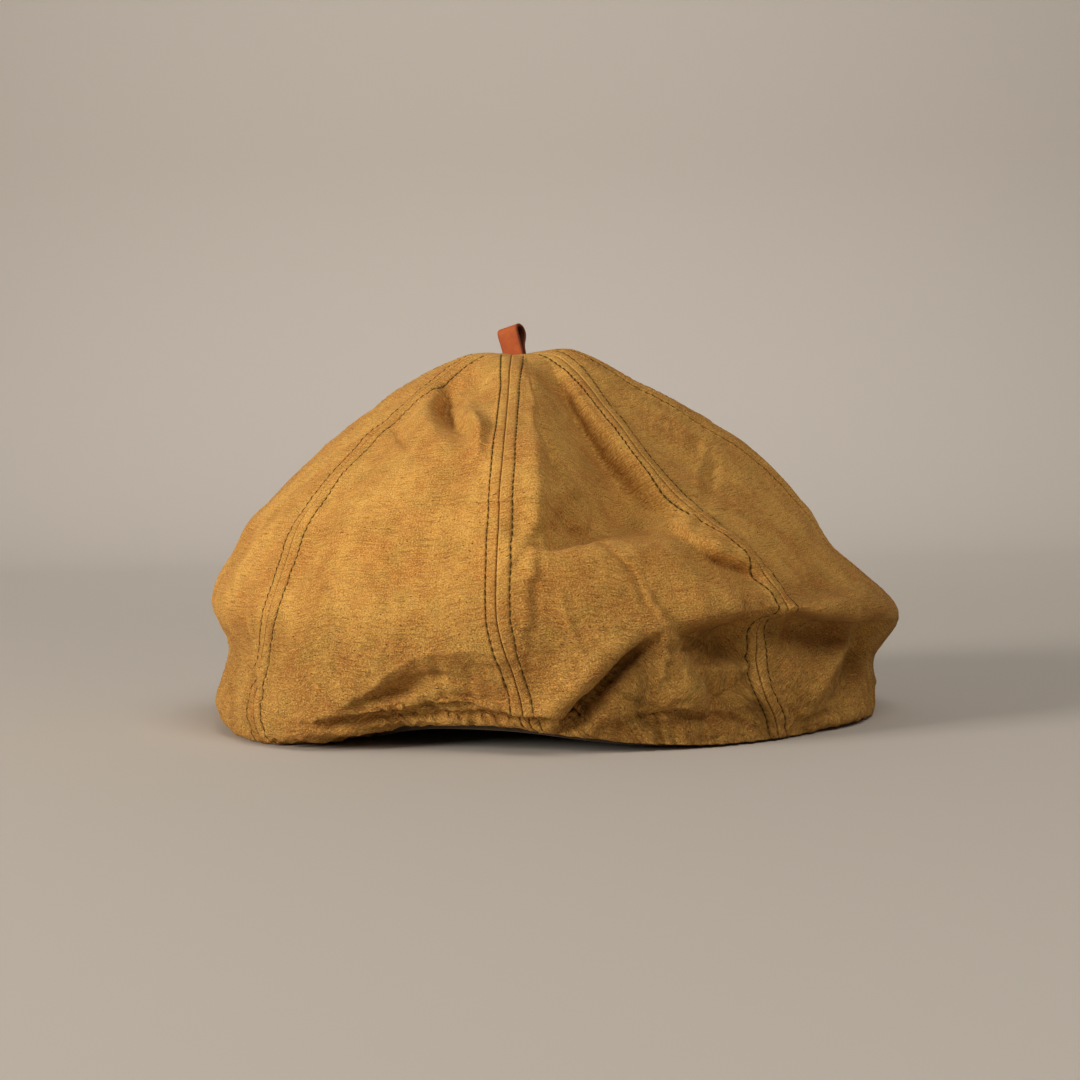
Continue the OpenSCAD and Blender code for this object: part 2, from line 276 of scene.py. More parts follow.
# Creases too narrow for the broad pass: pressed-in lines and thin ridges
CREASES = [
    dict(line=[(-80, 9), (-70, 10), (-57, 11), (-44, 12), (-33, 13), (-18, 12.5), (-4, 11.5), (6, 9)],
         push=(-0.3, -1.4, -2.0, -2.0, -2.0, -2.0, -1.6, -0.4), left=0.8, right=1.5),
    dict(line=[(29.5, 36.5), (24, 32), (14.5, 23), (8, 16), (3, 10), (0, 6)], push=(-0.6, -2.2, -2.4, -2.2, -1.6, -0.4), left=0.9, right=2.0),
    dict(line=[(0, 130), (4, 121), (8, 111), (12, 104), (16, 97), (21, 90), (28, 82), (36, 75)], push=(-0.3, -0.9, -1.0, -0.2), left=1.8, right=1.1),
    dict(line=[(-5, 112), (-3, 104), (-1, 96), (1, 88)], push=(-0.4, -1.4, -1.2, -0.3), left=0.8, right=1.6),
    dict(line=[(-6, 106), (1, 94), (8, 83)], push=(0.1, 1.1, 0.2), left=1.2, right=0.9),
    dict(line=[(-3, 104), (4, 93), (10, 84)], push=(-0.2, -1.7, -0.3), left=0.9, right=1.2),
    dict(line=[(12, 80), (13, 72), (9, 66)], push=(-0.3, -1.3, -0.3), left=1.2, right=1.8),
    dict(line=[(2, 76), (6, 71), (12, 69)], push=(-0.3, -1.7, -0.4), left=1.2, right=1.4),
    dict(line=[(18, 78), (25, 72), (34, 69)], push=(-0.2, -0.8, -0.2), left=1.4, right=1.4),
    dict(line=[(-8, 67), (0, 66), (9, 68), (18, 69), (30, 69.5)], push=(-0.4, -1.5, -1.5, -0.3), left=1.6, right=1.0),
    dict(line=[(16, 66), (22, 61), (26, 56), (28, 49), (31, 44)], push=(-0.2, -0.9, -0.7, -0.2), left=0.9, right=1.1),
    dict(line=[(45, 65), (53, 60), (63, 56), (72, 51)], push=(-0.3, -1.3, -1.1, -0.2), left=1.0, right=1.8),
    dict(line=[(-36, 117), (-38, 112), (-35, 107), (-29, 103)], push=(-0.4, -1.6, -1.6, -0.4), left=1.1, right=1.6),
    dict(line=[(-30, 108), (-26, 110), (-24, 106), (-24, 100), (-25, 94)], push=(0.2, 1.2, 1.4, 0.9, 0.1), left=1.4, right=1.1),
    dict(line=[(-56, 107), (-52, 102), (-47, 96)], push=(-0.3, -1.5, -0.3), left=1.3, right=1.3),
    dict(line=[(58, 95), (56, 88), (54, 81)], push=(-0.1, -0.9, -0.1), left=1.0, right=1.4),
    dict(line=[(-104, 58), (-103, 46), (-104, 31)], push=(0.1, 0.6, 0.1), left=0.8, right=0.8),
    dict(line=[(-109, 30), (-104, 24), (-99, 17)], push=(-0.3, -1.4, -0.3), left=1.6, right=1.6),
    dict(line=[(20, 9), (26, 11), (34, 12), (46, 10), (58, 8), (67, 4)], push=(-0.6, -1.8, -2.0, -1.8, -1.2, -0.4), left=1.6, right=1.0),
    dict(line=[(79, 5), (90, 6), (99, 7)], push=(-0.4, -1.4, -0.4), left=1.4, right=1.2),
    dict(line=[(32, 11), (33, 3)], push=(-1.2, -1.8), left=1.2, right=1.4),
    dict(line=[(47, 9), (48, 2)], push=(-0.5, -1.0), left=1.0, right=1.4),
    dict(line=[(-26, 13), (-28, 7)], push=(-0.8, -1.2), left=1.2, right=1.4),
    dict(line=[(-52, 11), (-50, 6)], push=(-0.8, -1.2), left=1.2, right=1.4),
    dict(line=[(14, 37), (7, 30), (2, 21)], push=(-0.3, -1.3, -0.4), left=1.4, right=1.8),
    dict(line=[(22, 40), (15, 36), (8, 33)], push=(-0.3, -1.0, -0.3), left=1.2, right=1.6),
    dict(line=[(8, 19), (3, 14), (-1, 8)], push=(-0.4, -1.4, -0.6), left=1.2, right=1.6),
    dict(line=[(36, 33), (42, 32), (47, 33)], push=(-0.3, -1.2, -0.2), left=1.2, right=1.2),
    dict(line=[(-25, 95), (-22, 84), (-23, 73)], push=(-0.2, -0.9, -0.2), left=1.6, right=2.4),
    dict(line=[(-47, 88), (-50, 76), (-56, 66)], push=(-0.1, -0.7, -0.1), left=2.0, right=1.6),
    dict(line=[(1, 52), (4, 42), (9, 29)], push=(0.2, 1.0, 0.3), left=1.0, right=1.5),
    dict(line=[(-60, 18), (-50, 20), (-41, 24)], push=(-0.3, -1.3, -0.3), left=1.2, right=1.8),
    dict(line=[(-47, 25), (-38, 26), (-30, 25)], push=(-0.2, -1.1, -0.2), left=1.2, right=1.6),
    dict(line=[(-66, 14), (-56, 14), (-46, 17)], push=(-0.2, -1.1, -0.2), left=1.2, right=1.4),
    dict(line=[(-36, 20), (-26, 18), (-16, 19)], push=(-0.2, -1.1, -0.2), left=1.2, right=1.6),
    dict(line=[(-30, 30), (-22, 28), (-14, 29)], push=(-0.2, -0.8, -0.2), left=1.2, right=1.4),
]


# Height of the hem's edge round the front: it arches off the floor left of the middle
HEM_C = np.array([10.0, -17.0])      # centre of the head opening
ARCH = [(-66, 0.6), (-60, 0.8), (-55, 2.6), (-47, 5.4), (-40, 7.8), (-33, 8.6), (-24, 8.8), (-17, 8.7), (-10, 7.6), (-4, 5.8), (3, 4.3),
        (10, 2.8), (23, 1.1), (34, 0.8), (60, 0.8), (72, 2.6), (84, 1.4), (96, 0.8)]


def clear_band(P):
    """The cloth stays outside the sweatband, whose top edge is 24 mm up."""
    v = P[..., :2] - HEM_C
    r = np.linalg.norm(v, axis=-1)
    least = 91.2 - 1.4 * smooth(11, 15, P[..., 2]) - 200 * smooth(24.5, 48, P[..., 2])
    grow = np.maximum(least - r, 0)
    P = P.copy()
    P[..., :2] += v / np.maximum(r, 1e-6)[..., None] * grow[..., None]
    return P


def hem_arch(P, S):
    e = P[-1]
    az = np.degrees(np.arctan2(e[:, 0] - HEM_C[0], HEM_C[1] - e[:, 1]))
    t = np.array(ARCH, float)
    want = np.interp(az, t[:, 0], t[:, 1])
    w = smooth(-72, -64, az) * (1 - smooth(94, 104, az))
    dz = (want - e[:, 2]) * w
    P = P.copy()
    P[..., 2] += dz[None, :] * smooth(7.4, 9.1, S)
    return P


def fold_side(f, d):
    """A steep line's left is its -X side, and a flat one's is above it (flat lines run to +X)."""
    dx, dz = f["line"][-1][0] - f["line"][0][0], f["line"][-1][1] - f["line"][0][1]
    return -d if abs(dz) > 0.65 * abs(dx) and dz < 0 else d


def fold_push(P, folds):
    """Total push along the normal and total drop, in mm, for points on the front of the crown."""
    X, Z = P[..., 0], P[..., 2]
    front = smooth(-8, -38, P[..., 1])
    out = np.zeros(X.shape)
    drop = np.zeros(X.shape)
    for f in folds:
        place, d = polyline_field(X, Z, f["line"])
        d = fold_side(f, d)
        p = np.array(f["push"], float)
        a = np.interp(place, np.linspace(0, 1, len(p)), p)
        wl, wr = [np.interp(place, np.linspace(0, 1, np.size(f[q])), np.atleast_1d(f[q])) for q in ("left", "right")]
        w = np.where(d > 0, wl, wr)
        kind = f.get("kind", "soft")
        if kind == "soft":
            out += a * np.exp(-(d / w) ** 2) * front
        elif kind == "vee":
            # an even slope down to the line from either side
            q = 1 - np.sqrt((d / w) ** 2 + 0.004) + 0.063
            v = a * (np.logaddexp(0, q * 9) / 9) * front
            if "above" in f:
                v = v * smooth(f["above"][0], f["above"][1], Z)
            out += v
        elif kind == "under":
            # below the line the cloth turns in, evenly, towards the casing
            q = np.clip(-d / wr, 0, None)
            out -= a * np.tanh(q * 1.2) * smooth(2.0, 9.0, Z) * front
        else:
            # one side stands proud of the other, and both die away
            t = np.tanh(d / f["edge"])
            fall = np.exp(-(np.abs(d) / w) ** 2.4)
            if kind == "step":
                out += 0.5 * a * t * fall * front * 1.6
            else:
                up = 0.45 * a * np.clip(t, 0, 1) * fall
                down = 1.0 * a * np.clip(t, -1, 0) * fall
                out += (up + down) * front
                drop += f["drop"] * (np.exp(-((d - 1.5) / 2.2) ** 2) * (a / p.max())) * front
    return out, drop


# Folds of the sides and the back, along the cloth: (azimuth, ring) lines
SIDE_FOLDS = [
    dict(line=[(112, 1.6), (118, 2.8), (126, 4.0), (128, 5.0)], push=(-0.4, -3.0, -3.4, -0.6), width=9.0),
    dict(line=[(150, 5.2), (166, 5.4), (186, 5.0), (204, 5.3)], push=(-0.4, -3.2, -3.0, -0.4), width=6.5),
    dict(line=[(158, 1.4), (160, 2.6), (168, 3.8)], push=(-0.4, -2.6, -0.6), width=8.0),
    dict(line=[(206, 2.2), (214, 3.4), (218, 4.6)], push=(-0.4, -3.0, -0.8), width=9.0),
    dict(line=[(230, 6.9), (240, 6.6), (251, 6.8), (260, 6.9)], push=(-0.6, -2.4, -1.8, 0.0), width=4.5),
    dict(line=[(100, 6.0), (122, 6.9), (146, 7.0), (168, 6.8), (196, 7.1), (220, 6.9)],
         push=(-0.6, -2.6, -1.2, -2.6, -1.4, -1.8), width=4.5),
    dict(line=[(140, 3.2), (152, 4.0), (160, 4.9)], push=(0.3, 2.6, 0.4), width=8.0),
    dict(line=[(228, 3.0), (238, 4.2), (240, 5.4)], push=(0.3, 2.6, 0.4), width=8.0),
    dict(line=[(98, 3.0), (104, 4.2), (100, 5.2)], push=(-0.3, -2.2, -0.4), width=7.0),
    dict(line=[(252, 2.0), (256, 3.4), (262, 4.4)], push=(-0.2, -1.8, -0.3), width=8.0),
]


def side_push(AZ, S, R):
    out = np.zeros(AZ.shape)
    A = np.where(AZ < -90 + 0.0, AZ + 360, AZ)
    for f in SIDE_FOLDS:
        pts = np.array(f["line"], float)
        # about 1.8 mm to a degree and 24 mm to a ring where the crown is widest
        place, d = polyline_field(A * 1.75, -S * 24.0, np.stack([pts[:, 0] * 1.75, -pts[:, 1] * 24.0], -1))
        p = np.array(f["push"], float)
        out += np.interp(place, np.linspace(0, 1, len(p)), p) * np.exp(-(d / f["width"]) ** 2)
    return out


NU, NT = 8 * 42, 176          # grid that the cloth relaxes on


def meridian_rings(u, nt):
    """Ring numbers s[row, column] that divide each meridian into equal lengths."""
    fine = np.linspace(0, LAST, 601)
    U, S = np.meshgrid(u, fine)
    P = skin(U, S)
    L = np.concatenate([np.zeros((1, len(u))), np.cumsum(np.linalg.norm(np.diff(P, axis=0), axis=-1), 0)])
    L = blur_columns(L)
    out = np.zeros((nt, len(u)))
    for c in range(len(u)):
        out[:, c] = np.interp(np.linspace(0, L[-1, c], nt), L[:, c], fine)
    return out


def blur_columns(L):
    for _ in range(6):
        L = 0.25 * np.roll(L, 1, 1) + 0.5 * L + 0.25 * np.roll(L, -1, 1)
    return L


def target_grid():
    u = np.arange(NU) * 8.0 / NU
    S = meridian_rings(u, NT)
    U = np.broadcast_to(u, S.shape)
    P = skin(U, S)
    N = normals(P)
    AZ = azimuth(U, S)
    # a fold belongs where its line is once the cloth has moved, so the push is found in turns
    # nothing moves at the very tip, nor at the elastic
    fix = smooth(0.0, 0.7, S) * (1 - smooth(9.0, 9.8, S))
    side = side_push(AZ, S, None)
    push = np.zeros(S.shape)
    drop = np.zeros(S.shape)
    for _ in range(6):
        Q = P + N * push[..., None]
        a, b = fold_push(Q, FOLDS)
        push = 0.45 * push + 0.55 * (a + side) * fix
        drop = 0.45 * drop + 0.55 * b
    P = P + N * push[..., None]
    P[..., 2] -= drop
    P = clear_band(P)
    P = hem_arch(P, S)
    P[..., 2] = np.maximum(P[..., 2], 0.45)
    return U, S, AZ, P


def relax(P, S, U, steps, fine=False):
    """Position-based cloth: the sheet is cut a little longer than the shape it hangs in, so it
    buckles, while the seams hold their lengths; the hem grows most round the crown, so it gathers. A soft pull keeps
    the shape."""
    T = P.copy()
    X = P.copy()
    NT, NU = P.shape[:2]
    mm = np.linalg.norm(np.roll(P, -1, 1) - P, axis=-1)
    frac = U - np.floor(U)
    gore = mm * (NU / 8.0)
    dseam = np.minimum(frac, 1 - frac) * gore           # distance from the nearest seam, mm
    free = smooth(2.0, 12.0, dseam)
    low = smooth(6.0, 8.6, S)
    hem = smooth(9.2, 10.0, S)
    up = smooth(0.4, 1.6, S)
    patch = 0.5 + 0.5 * noise3(T * [1, 1, 1], 46.0, 5)
    N = normals(P)
    if fine:
        # crinkles that run across the gore, closest in the slack cloth low down and by the seams
        patch2 = smooth(-0.25, 0.55, noise3(T, 26.0, 6))
        near = np.exp(-((dseam - 6.0) / 5.0) ** 2)
        grow_t = (0.001 + 0.018 * patch2 * (0.2 + 0.8 * low) + 0.040 * low + 0.008 * near) * up
        grow_u = (0.003 + 0.006 * patch2 + 0.012 * low + 0.030 * hem) * up
        line = np.exp(-(dseam / 3.2) ** 2)
        k = np.floor(U)
        Q = np.stack([frac * 80.0 + k * 211.0, np.cumsum(np.concatenate([np.zeros((1, NU)),
                      np.linalg.norm(np.diff(P, axis=0), axis=-1)]), 0), 0 * U], -1)
        seedn = (0.8 * noise3(Q * [0.34, 1.0, 1.0], 2.6, 14) + 0.6 * noise3(Q * [0.5, 1.0, 1.0], 1.7, 15) +
                 0.7 * noise3(T, 4.4, 16))
        amp = 0.26 * (0.06 + 0.25 * patch2 + 1.4 * low)
        hold_k, kb, kd = 0.016, 0.018, 0.25
    else:
        grow_t = (0.004 + 0.022 * (1 - free) * up + 0.018 * patch * free + 0.012 * low) * up      # down the gore
        grow_u = (0.004 + 0.014 * patch * free + 0.022 * low + 0.050 * hem) * up                  # round the crown
        line = np.exp(-(dseam / 2.2) ** 2)
        seedn = (0.55 * noise3(T * [1.0, 1.0, 1.0], 15.0, 11) + 0.35 * noise3(T, 7.0, 12) +
                 0.5 * noise3(T * [1.0, 1.0, 0.45], 10.0, 13))
        amp = 0.75
        hold_k, kb, kd = 0.014, 0.05, 0.35
    # the seam itself is short: its own line doesn't grow
    grow_t = grow_t * (1 - line)
    X = X + N * (seedn * amp * up * (0.30 + 0.70 * free))[..., None]

    def rest(A, B, ga, gb):
        return np.linalg.norm(A - B, axis=-1) * (1 + 0.5 * (ga + gb))
    Lt = rest(T[1:], T[:-1], grow_t[1:], grow_t[:-1])
    Lu = rest(np.roll(T, -1, 1), T, np.roll(grow_u, -1, 1), grow_u)
    gd = 0.5 * (grow_t + grow_u)
    Ld1 = rest(np.roll(T, -1, 1)[1:], T[:-1], np.roll(gd, -1, 1)[1:], gd[:-1])
    Ld2 = rest(np.roll(T, 1, 1)[1:], T[:-1], np.roll(gd, 1, 1)[1:], gd[:-1])
    Bt = rest(T[3:], T[:-3], grow_t[3:], grow_t[:-3])
    Bu = rest(np.roll(T, -3, 1), T, np.roll(grow_u, -3, 1), grow_u)
    hold = (hold_k + 0.06 * (1 - up) + 0.012 * line)[..., None]

    def pair(a, b, L, k):
        d = b - a
        l = np.sqrt((d * d).sum(-1))
        c = (k * 0.5 * (l - L) / np.maximum(l, 1e-6))[..., None] * d
        return c

    for it in range(steps):
        for p in (0, 1):
            c = pair(X[p:-1:2], X[p + 1::2], Lt[p::2], 0.9)
            X[p:-1:2] += c; X[p + 1::2] -= c
        for p in (0, 1):
            Y = np.roll(X, -p, 1)
            L = np.roll(Lu, -p, 1)[:, 0::2]
            c = pair(Y[:, 0::2], Y[:, 1::2], L, 0.9)
            Y[:, 0::2] += c; Y[:, 1::2] -= c
            X = np.roll(Y, p, 1)
        for p in (0, 1):
            A, B = X[p:-1:2], X[p + 1::2]
            c = pair(A, np.roll(B, -1, 1), Ld1[p::2], kd)
            A += c; B -= np.roll(c, 1, 1)
            c = pair(A, np.roll(B, 1, 1), Ld2[p::2], kd)
            A += c; B -= np.roll(c, -1, 1)
        # bending: every third point pushed back to its flat distance
        for p in range(6):
            A, B = X[p:-3:6], X[p + 3::6]
            n = min(len(A), len(B))
            c = pair(A[:n], B[:n], Bt[p::6][:n], kb)
            A[:n] += c; B[:n] -= c
        Y = np.roll(X, -3, 1)
        c = pair(X, Y, Bu, kb * 0.5)
        X = X + c - np.roll(c, 3, 1)
        X += hold * (T - X)
        X[..., 2] = np.maximum(X[..., 2], 0.45)
    return X


def sample(G, u, row):
    """Smooth reading of a grid G[row, column] whose columns wrap, at u (0 to 8) and row (0 to 1)."""
    nt, nu = G.shape[:2]
    a = (u / 8.0 * nu) % nu
    i = np.floor(a).astype(int); fa = (a - i)[..., None] if G.ndim == 3 else a - i
    b = np.clip(row, 0, 1) * (nt - 1)
    j = np.clip(np.floor(b).astype(int), 0, nt - 2); fb = (b - j)[..., None] if G.ndim == 3 else b - j
    def r(jj):
        jj = np.clip(jj, 0, nt - 1)
        return crv(G[jj, (i - 1) % nu], G[jj, i % nu], G[jj, (i + 1) % nu], G[jj, (i + 2) % nu], fa)
    return crv(r(j - 1), r(j), r(j + 1), r(j + 2), fb)


# ------------------------------------------------------------------ the finished surface
U1, S1, AZ1, T1 = target_grid()
X1 = relax(T1, S1, U1, 110)
# twice as fine, with the narrow creases pressed in and the crinkles raised
NU1, NT1 = NU, NT
NU, NT = 2 * NU1, 2 * NT1
U0 = np.broadcast_to(np.arange(NU) * 8.0 / NU, (NT, NU))
R0 = np.broadcast_to(np.linspace(0, 1, NT)[:, None], (NT, NU))
S0 = sample(S1, U0, R0)
X0 = sample(X1, U0, R0)
press, _ = fold_push(X0, [dict(c, kind="soft") for c in CREASES])
X0 = X0 + normals(X0) * (press * smooth(0.2, 0.9, S0))[..., None]
D0 = relax(X0, S0, U0, 60, fine=True) - X0
for k in range(6):
    # smoothed lightly, so no crinkle is finer than the grid can carry: less in the slack cloth low down
    w = 1.0 if k < 2 else (1 - smooth(6.4, 8.4, S0))[..., None]
    B = 0.25 * np.roll(D0, 1, 1) + 0.5 * D0 + 0.25 * np.roll(D0, -1, 1)
    B[1:-1] = 0.25 * B[:-2] + 0.5 * B[1:-1] + 0.25 * B[2:]
    D0 = D0 + (B - D0) * w
X0 = X0 + D0
# shallow swells that washed cloth keeps from being worn and folded
swell = 0.75 * noise3(X0 * [1, 1, 0.6], 14.0, 61) + 0.26 * noise3(X0 * [1, 1, 0.7], 6.5, 62)
X0 = X0 + normals(X0) * (swell * smooth(0.8, 2.2, S0) * (1 - smooth(8.2, 9.2, S0)))[..., None]
X0 = clear_band(hem_arch(X0, S0))
X0[..., 2] = np.maximum(X0[..., 2], 0.45)
gore_mm = np.linalg.norm(np.roll(X0, -1, 1) - X0, axis=-1).reshape(NT, 8, NU // 8).sum(-1)   # width of each gore at each row
row_step = np.linalg.norm(np.diff(X0, axis=0), axis=-1)
depth_mm = np.concatenate([np.zeros((1, NU)), np.cumsum(row_step, 0)])                       # cloth length from the tip

ROW_AT = 4.2       # topstitch rows, mm from the seam
PITCH = 2.7        # stitch pitch, mm


def base_at(u, row):
    """Relaxed surface at u and row (0 to 1)."""
    P = sample(X0, u, row)
    return P


N0 = normals(X0)
N0s = blur(N0, 2)
N0s /= np.linalg.norm(N0s, axis=-1, keepdims=True)


def row_at(m, seamk, side):
    """Distance of a topstitch row from its seam, in mm: sewn by eye, it wanders a little."""
    q = np.stack([m, 0 * m + seamk * 13.0 + side * 3.0, 0 * m], -1)
    return ROW_AT + 0.32 * side + 0.26 * noise3(q, 15.0, 51)


def detail(u, row, d, seamk, side, P, m, ring, gore):
    """Small relief in mm, along the normal: seam ditch, welt, stitch dimples, puckers, crinkles.
    d is the distance to the nearest seam, m the cloth length from the tip."""
    tip = smooth(9.0, 20.0, m)
    at = row_at(m, seamk, side)
    ditch = -0.60 * np.exp(-(d / 0.22) ** 2) + 0.14 * (side > 0) * np.exp(-((d - 0.65) / 0.32) ** 2)
    welt = 0.42 * (1 - smooth(at + 0.5, at + 1.7, d)) * tip
    # the stitch rows bite into the cloth at each needle hole
    ph = 2 * np.pi * m / PITCH
    bite = np.exp(-((d - at) / 0.50) ** 2)
    stitch = -(0.36 + 0.12 * np.cos(ph)) * bite * tip
    pillow = 0.20 * np.clip(np.sin(np.pi * np.clip(d, 0, at) / at), 0, 1) * tip
    # puckers that run across the seam, pinched at the stitching
    k = seamk * 31.7
    c1 = noise3(np.stack([m, d * 0.30 + k, k + 0 * m], -1), 5.2, 21)
    c2 = noise3(np.stack([m, d * 0.45 + k, k + 9 + 0 * m], -1), 2.9, 22)
    swell = 0.55 + 0.45 * noise3(np.stack([m, 0 * d + k, k + 0 * m], -1), 24.0, 23)
    env = np.exp(-np.clip(d - at, 0, None) / 4.0) * smooth(0.4, 2.0, d)
    pucker = (0.30 * c1 + 0.16 * c2) * env * swell * tip
    # crumple of the washed cloth, too fine for the grid that relaxed
    low = smooth(6.2, 9.0, ring)
    Q = P * [1.0, 1.0, 1.25]
    n2 = noise3(Q, 4.0, 32)
    n3 = noise3(Q * [0.8, 0.8, 1.5], 2.0, 33)
    patch = smooth(-0.3, 0.5, noise3(P, 30.0, 35))
    crumple = (0.09 * n2 + 0.08 * n3) * (0.22 + 0.35 * patch + 1.6 * low)
    crumple *= smooth(0.6, 3.5, d) * 0.8 + 0.2
    # hem casing: gathers running up from the edge
    g = noise3(np.stack([u * gore, 0 * u, 0.12 * m], -1), 3.4, 41)
    gather = 0.34 * g * smooth(8.8, 9.7, ring)
    body = pucker * 0.7 + crumple * tip + gather
    return ditch * (0.35 + 0.65 * tip) + welt + stitch + pillow + pucker + crumple * tip + gather, body


D_NEAR = np.array([0.0, 0.12, 0.26, 0.45, 0.75, 1.2, 1.9, 2.7, 3.4, 3.75, 4.05, 4.4, 4.75, 5.3, 6.3, 7.6])
NFAR = 40
ROWS = 380


def gore_columns(G):
    """Distances in mm from the left seam, for rows of gore widths G, as [row, column]."""
    half = G[:, None] / 2
    f = np.minimum(1, half / 13.5)
    near = D_NEAR[None, :] * f
    e = near[:, -1:]
    far = e + (half - e) * (np.arange(1, NFAR + 1) / NFAR)[None, :]
    left = np.concatenate([near, far], 1)
    right = (G[:, None] - left[:, ::-1])[:, 1:]
    return np.concatenate([left, right], 1)


def row_table():
    """Rows of the fine grid, 0 to 1, evenly spaced."""
    x = np.linspace(0, 1, ROWS)
    return x


def gore_surface(k, rows=None):
    rows = row_table() if rows is None else rows
    G = np.interp(rows, np.linspace(0, 1, NT), gore_mm[:, k])
    D = gore_columns(G)
    W = D / G[:, None]
    U = k + W
    R = np.broadcast_to(rows[:, None], U.shape)
    return U, R, D, G


def finished(U, R, D, G, k_left, seam_id=None):
    """Outer surface of the cloth in mm, with normals, at gore coordinates."""
    P = sample(X0, U, R)
    N = sample(N0s, U, R)
    N = N / np.maximum(np.linalg.norm(N, axis=-1, keepdims=True), 1e-9)
    M = sample(depth_mm, U, R)
    S = sample(S0, U, R)
    Gc = np.broadcast_to(G if np.ndim(G) == 2 else G[:, None], U.shape)
    d = np.minimum(D, Gc - D)
    near = np.where(D <= Gc / 2, k_left, (k_left + 1) % 8)
    rel, body = detail(U, R, d, near, np.where(D <= Gc / 2, 1.0, -1.0), P, M, S, Gc)
    Q = P + N * rel[..., None]
    Q[..., 2] = np.maximum(Q[..., 2], 0.12)
    # the inner face doesn't go down into the ditch: the turned allowances lie there
    I = P + N * (0.8 * body - 0.95 - 0.60 * np.exp(-(d / 1.2) ** 2))[..., None]
    return Q, N, M, S, d, I


def grid_faces(nr, nc, flip=False, off=0):
    i, j = np.meshgrid(np.arange(nr - 1), np.arange(nc - 1), indexing="ij")
    a = off + i * nc + j
    q = np.stack([a, a + nc, a + nc + 1, a + 1], -1).reshape(-1, 4)
    return q[:, ::-1] if flip else q


def make_mesh(name, verts, faces, mat, coords=None, smooth_shade=True, tone=None):
    """verts in mm; faces is a list of arrays, each of quads or triangles."""
    me = bpy.data.meshes.new(name)
    verts = np.asarray(verts, np.float32) * MM
    counts = [np.full(len(f), f.shape[1], np.int32) for f in faces]
    flat = np.concatenate([np.asarray(f, np.int32).ravel() for f in faces])
    counts = np.concatenate(counts)
    starts = np.concatenate([[0], np.cumsum(counts)[:-1]]).astype(np.int32)
    me.vertices.add(len(verts)); me.vertices.foreach_set("co", verts.ravel())
    me.loops.add(len(flat)); me.loops.foreach_set("vertex_index", flat)
    me.polygons.add(len(counts)); me.polygons.foreach_set("loop_start", starts)
    me.polygons.foreach_set("loop_total", counts)
    if smooth_shade:
        me.polygons.foreach_set("use_smooth", np.ones(len(counts), bool))
    if coords is not None:
        at = me.attributes.new("cloth", "FLOAT_VECTOR", "POINT")
        at.data.foreach_set("vector", np.asarray(coords, np.float32).ravel())
    if tone is not None:
        at = me.attributes.new("tone", "FLOAT", "POINT")
        at.data.foreach_set("value", np.asarray(tone, np.float32).ravel())
    me.update(calc_edges=True)
    me.validate()
    if mat is not None:
        me.materials.append(mat)
    ob = bpy.data.objects.new(name, me)
    bpy.context.scene.collection.objects.link(ob)
    return ob


# ------------------------------------------------------------------ materials
def new_material(name):
    m = bpy.data.materials.new(name)
    m.use_nodes = True
    nt = m.node_tree
    for n in list(nt.nodes):
        nt.nodes.remove(n)
    out = nt.nodes.new("ShaderNodeOutputMaterial")
    bs = nt.nodes.new("ShaderNodeBsdfPrincipled")
    nt.links.new(bs.outputs[0], out.inputs[0])
    return m, nt, bs


class Nodes:
    def __init__(self, nt):
        self.nt = nt

    def add(self, kind, **props):
        n = self.nt.nodes.new(kind)
        for k, v in props.items():
            setattr(n, k, v)
        return n

    def put(self, sock, v):
        if hasattr(v, "is_output") or isinstance(v, bpy.types.NodeSocket):
            self.nt.links.new(v, sock)
        elif v is not None:
            sock.default_value = v

    def math(self, op, a, b=None, c=None, clamp=False):
        n = self.add("ShaderNodeMath", operation=op, use_clamp=clamp)
        for i, v in enumerate((a, b, c)):
            if v is not None:
                self.put(n.inputs[i], v)
        return n.outputs[0]

    def noise(self, vec, scale, detail=2.0, rough=0.5, distortion=0.0, out="Fac"):
        n = self.add("ShaderNodeTexNoise")
        self.put(n.inputs["Vector"], vec)
        n.inputs["Scale"].default_value = scale
        n.inputs["Detail"].default_value = detail
        n.inputs["Roughness"].default_value = rough
        n.inputs["Distortion"].default_value = distortion
        return n.outputs[0] if out == "Fac" else n.outputs[1]

    def ramp(self, fac, lo, hi, a=0.0, b=1.0, mode="SMOOTHSTEP"):
        n = self.add("ShaderNodeMapRange", interpolation_type=mode)
        self.put(n.inputs["Value"], fac)
        n.inputs["From Min"].default_value = lo
        n.inputs["From Max"].default_value = hi
        n.inputs["To Min"].default_value = a
        n.inputs["To Max"].default_value = b
        return n.outputs[0]

    def mix(self, fac, a, b, blend="MIX"):
        n = self.add("ShaderNodeMix", data_type="RGBA", blend_type=blend)
        self.put(n.inputs[0], fac)
        self.put(n.inputs[6], a)
        self.put(n.inputs[7], b)
        return n.outputs[2]

    def scale(self, vec, xyz, offset=(0, 0, 0)):
        n = self.add("ShaderNodeMapping")
        self.put(n.inputs["Vector"], vec)
        n.inputs["Scale"].default_value = xyz
        n.inputs["Location"].default_value = offset
        return n.outputs[0]

    def attr(self, name, out="Vector"):
        n = self.add("ShaderNodeAttribute", attribute_name=name)
        return n.outputs[out]


def lin(r, g, b):
    def f(c):
        c /= 255.0
        return c / 12.92 if c <= 0.04045 else ((c + 0.055) / 1.055) ** 2.4
    return (f(r), f(g), f(b), 1.0)


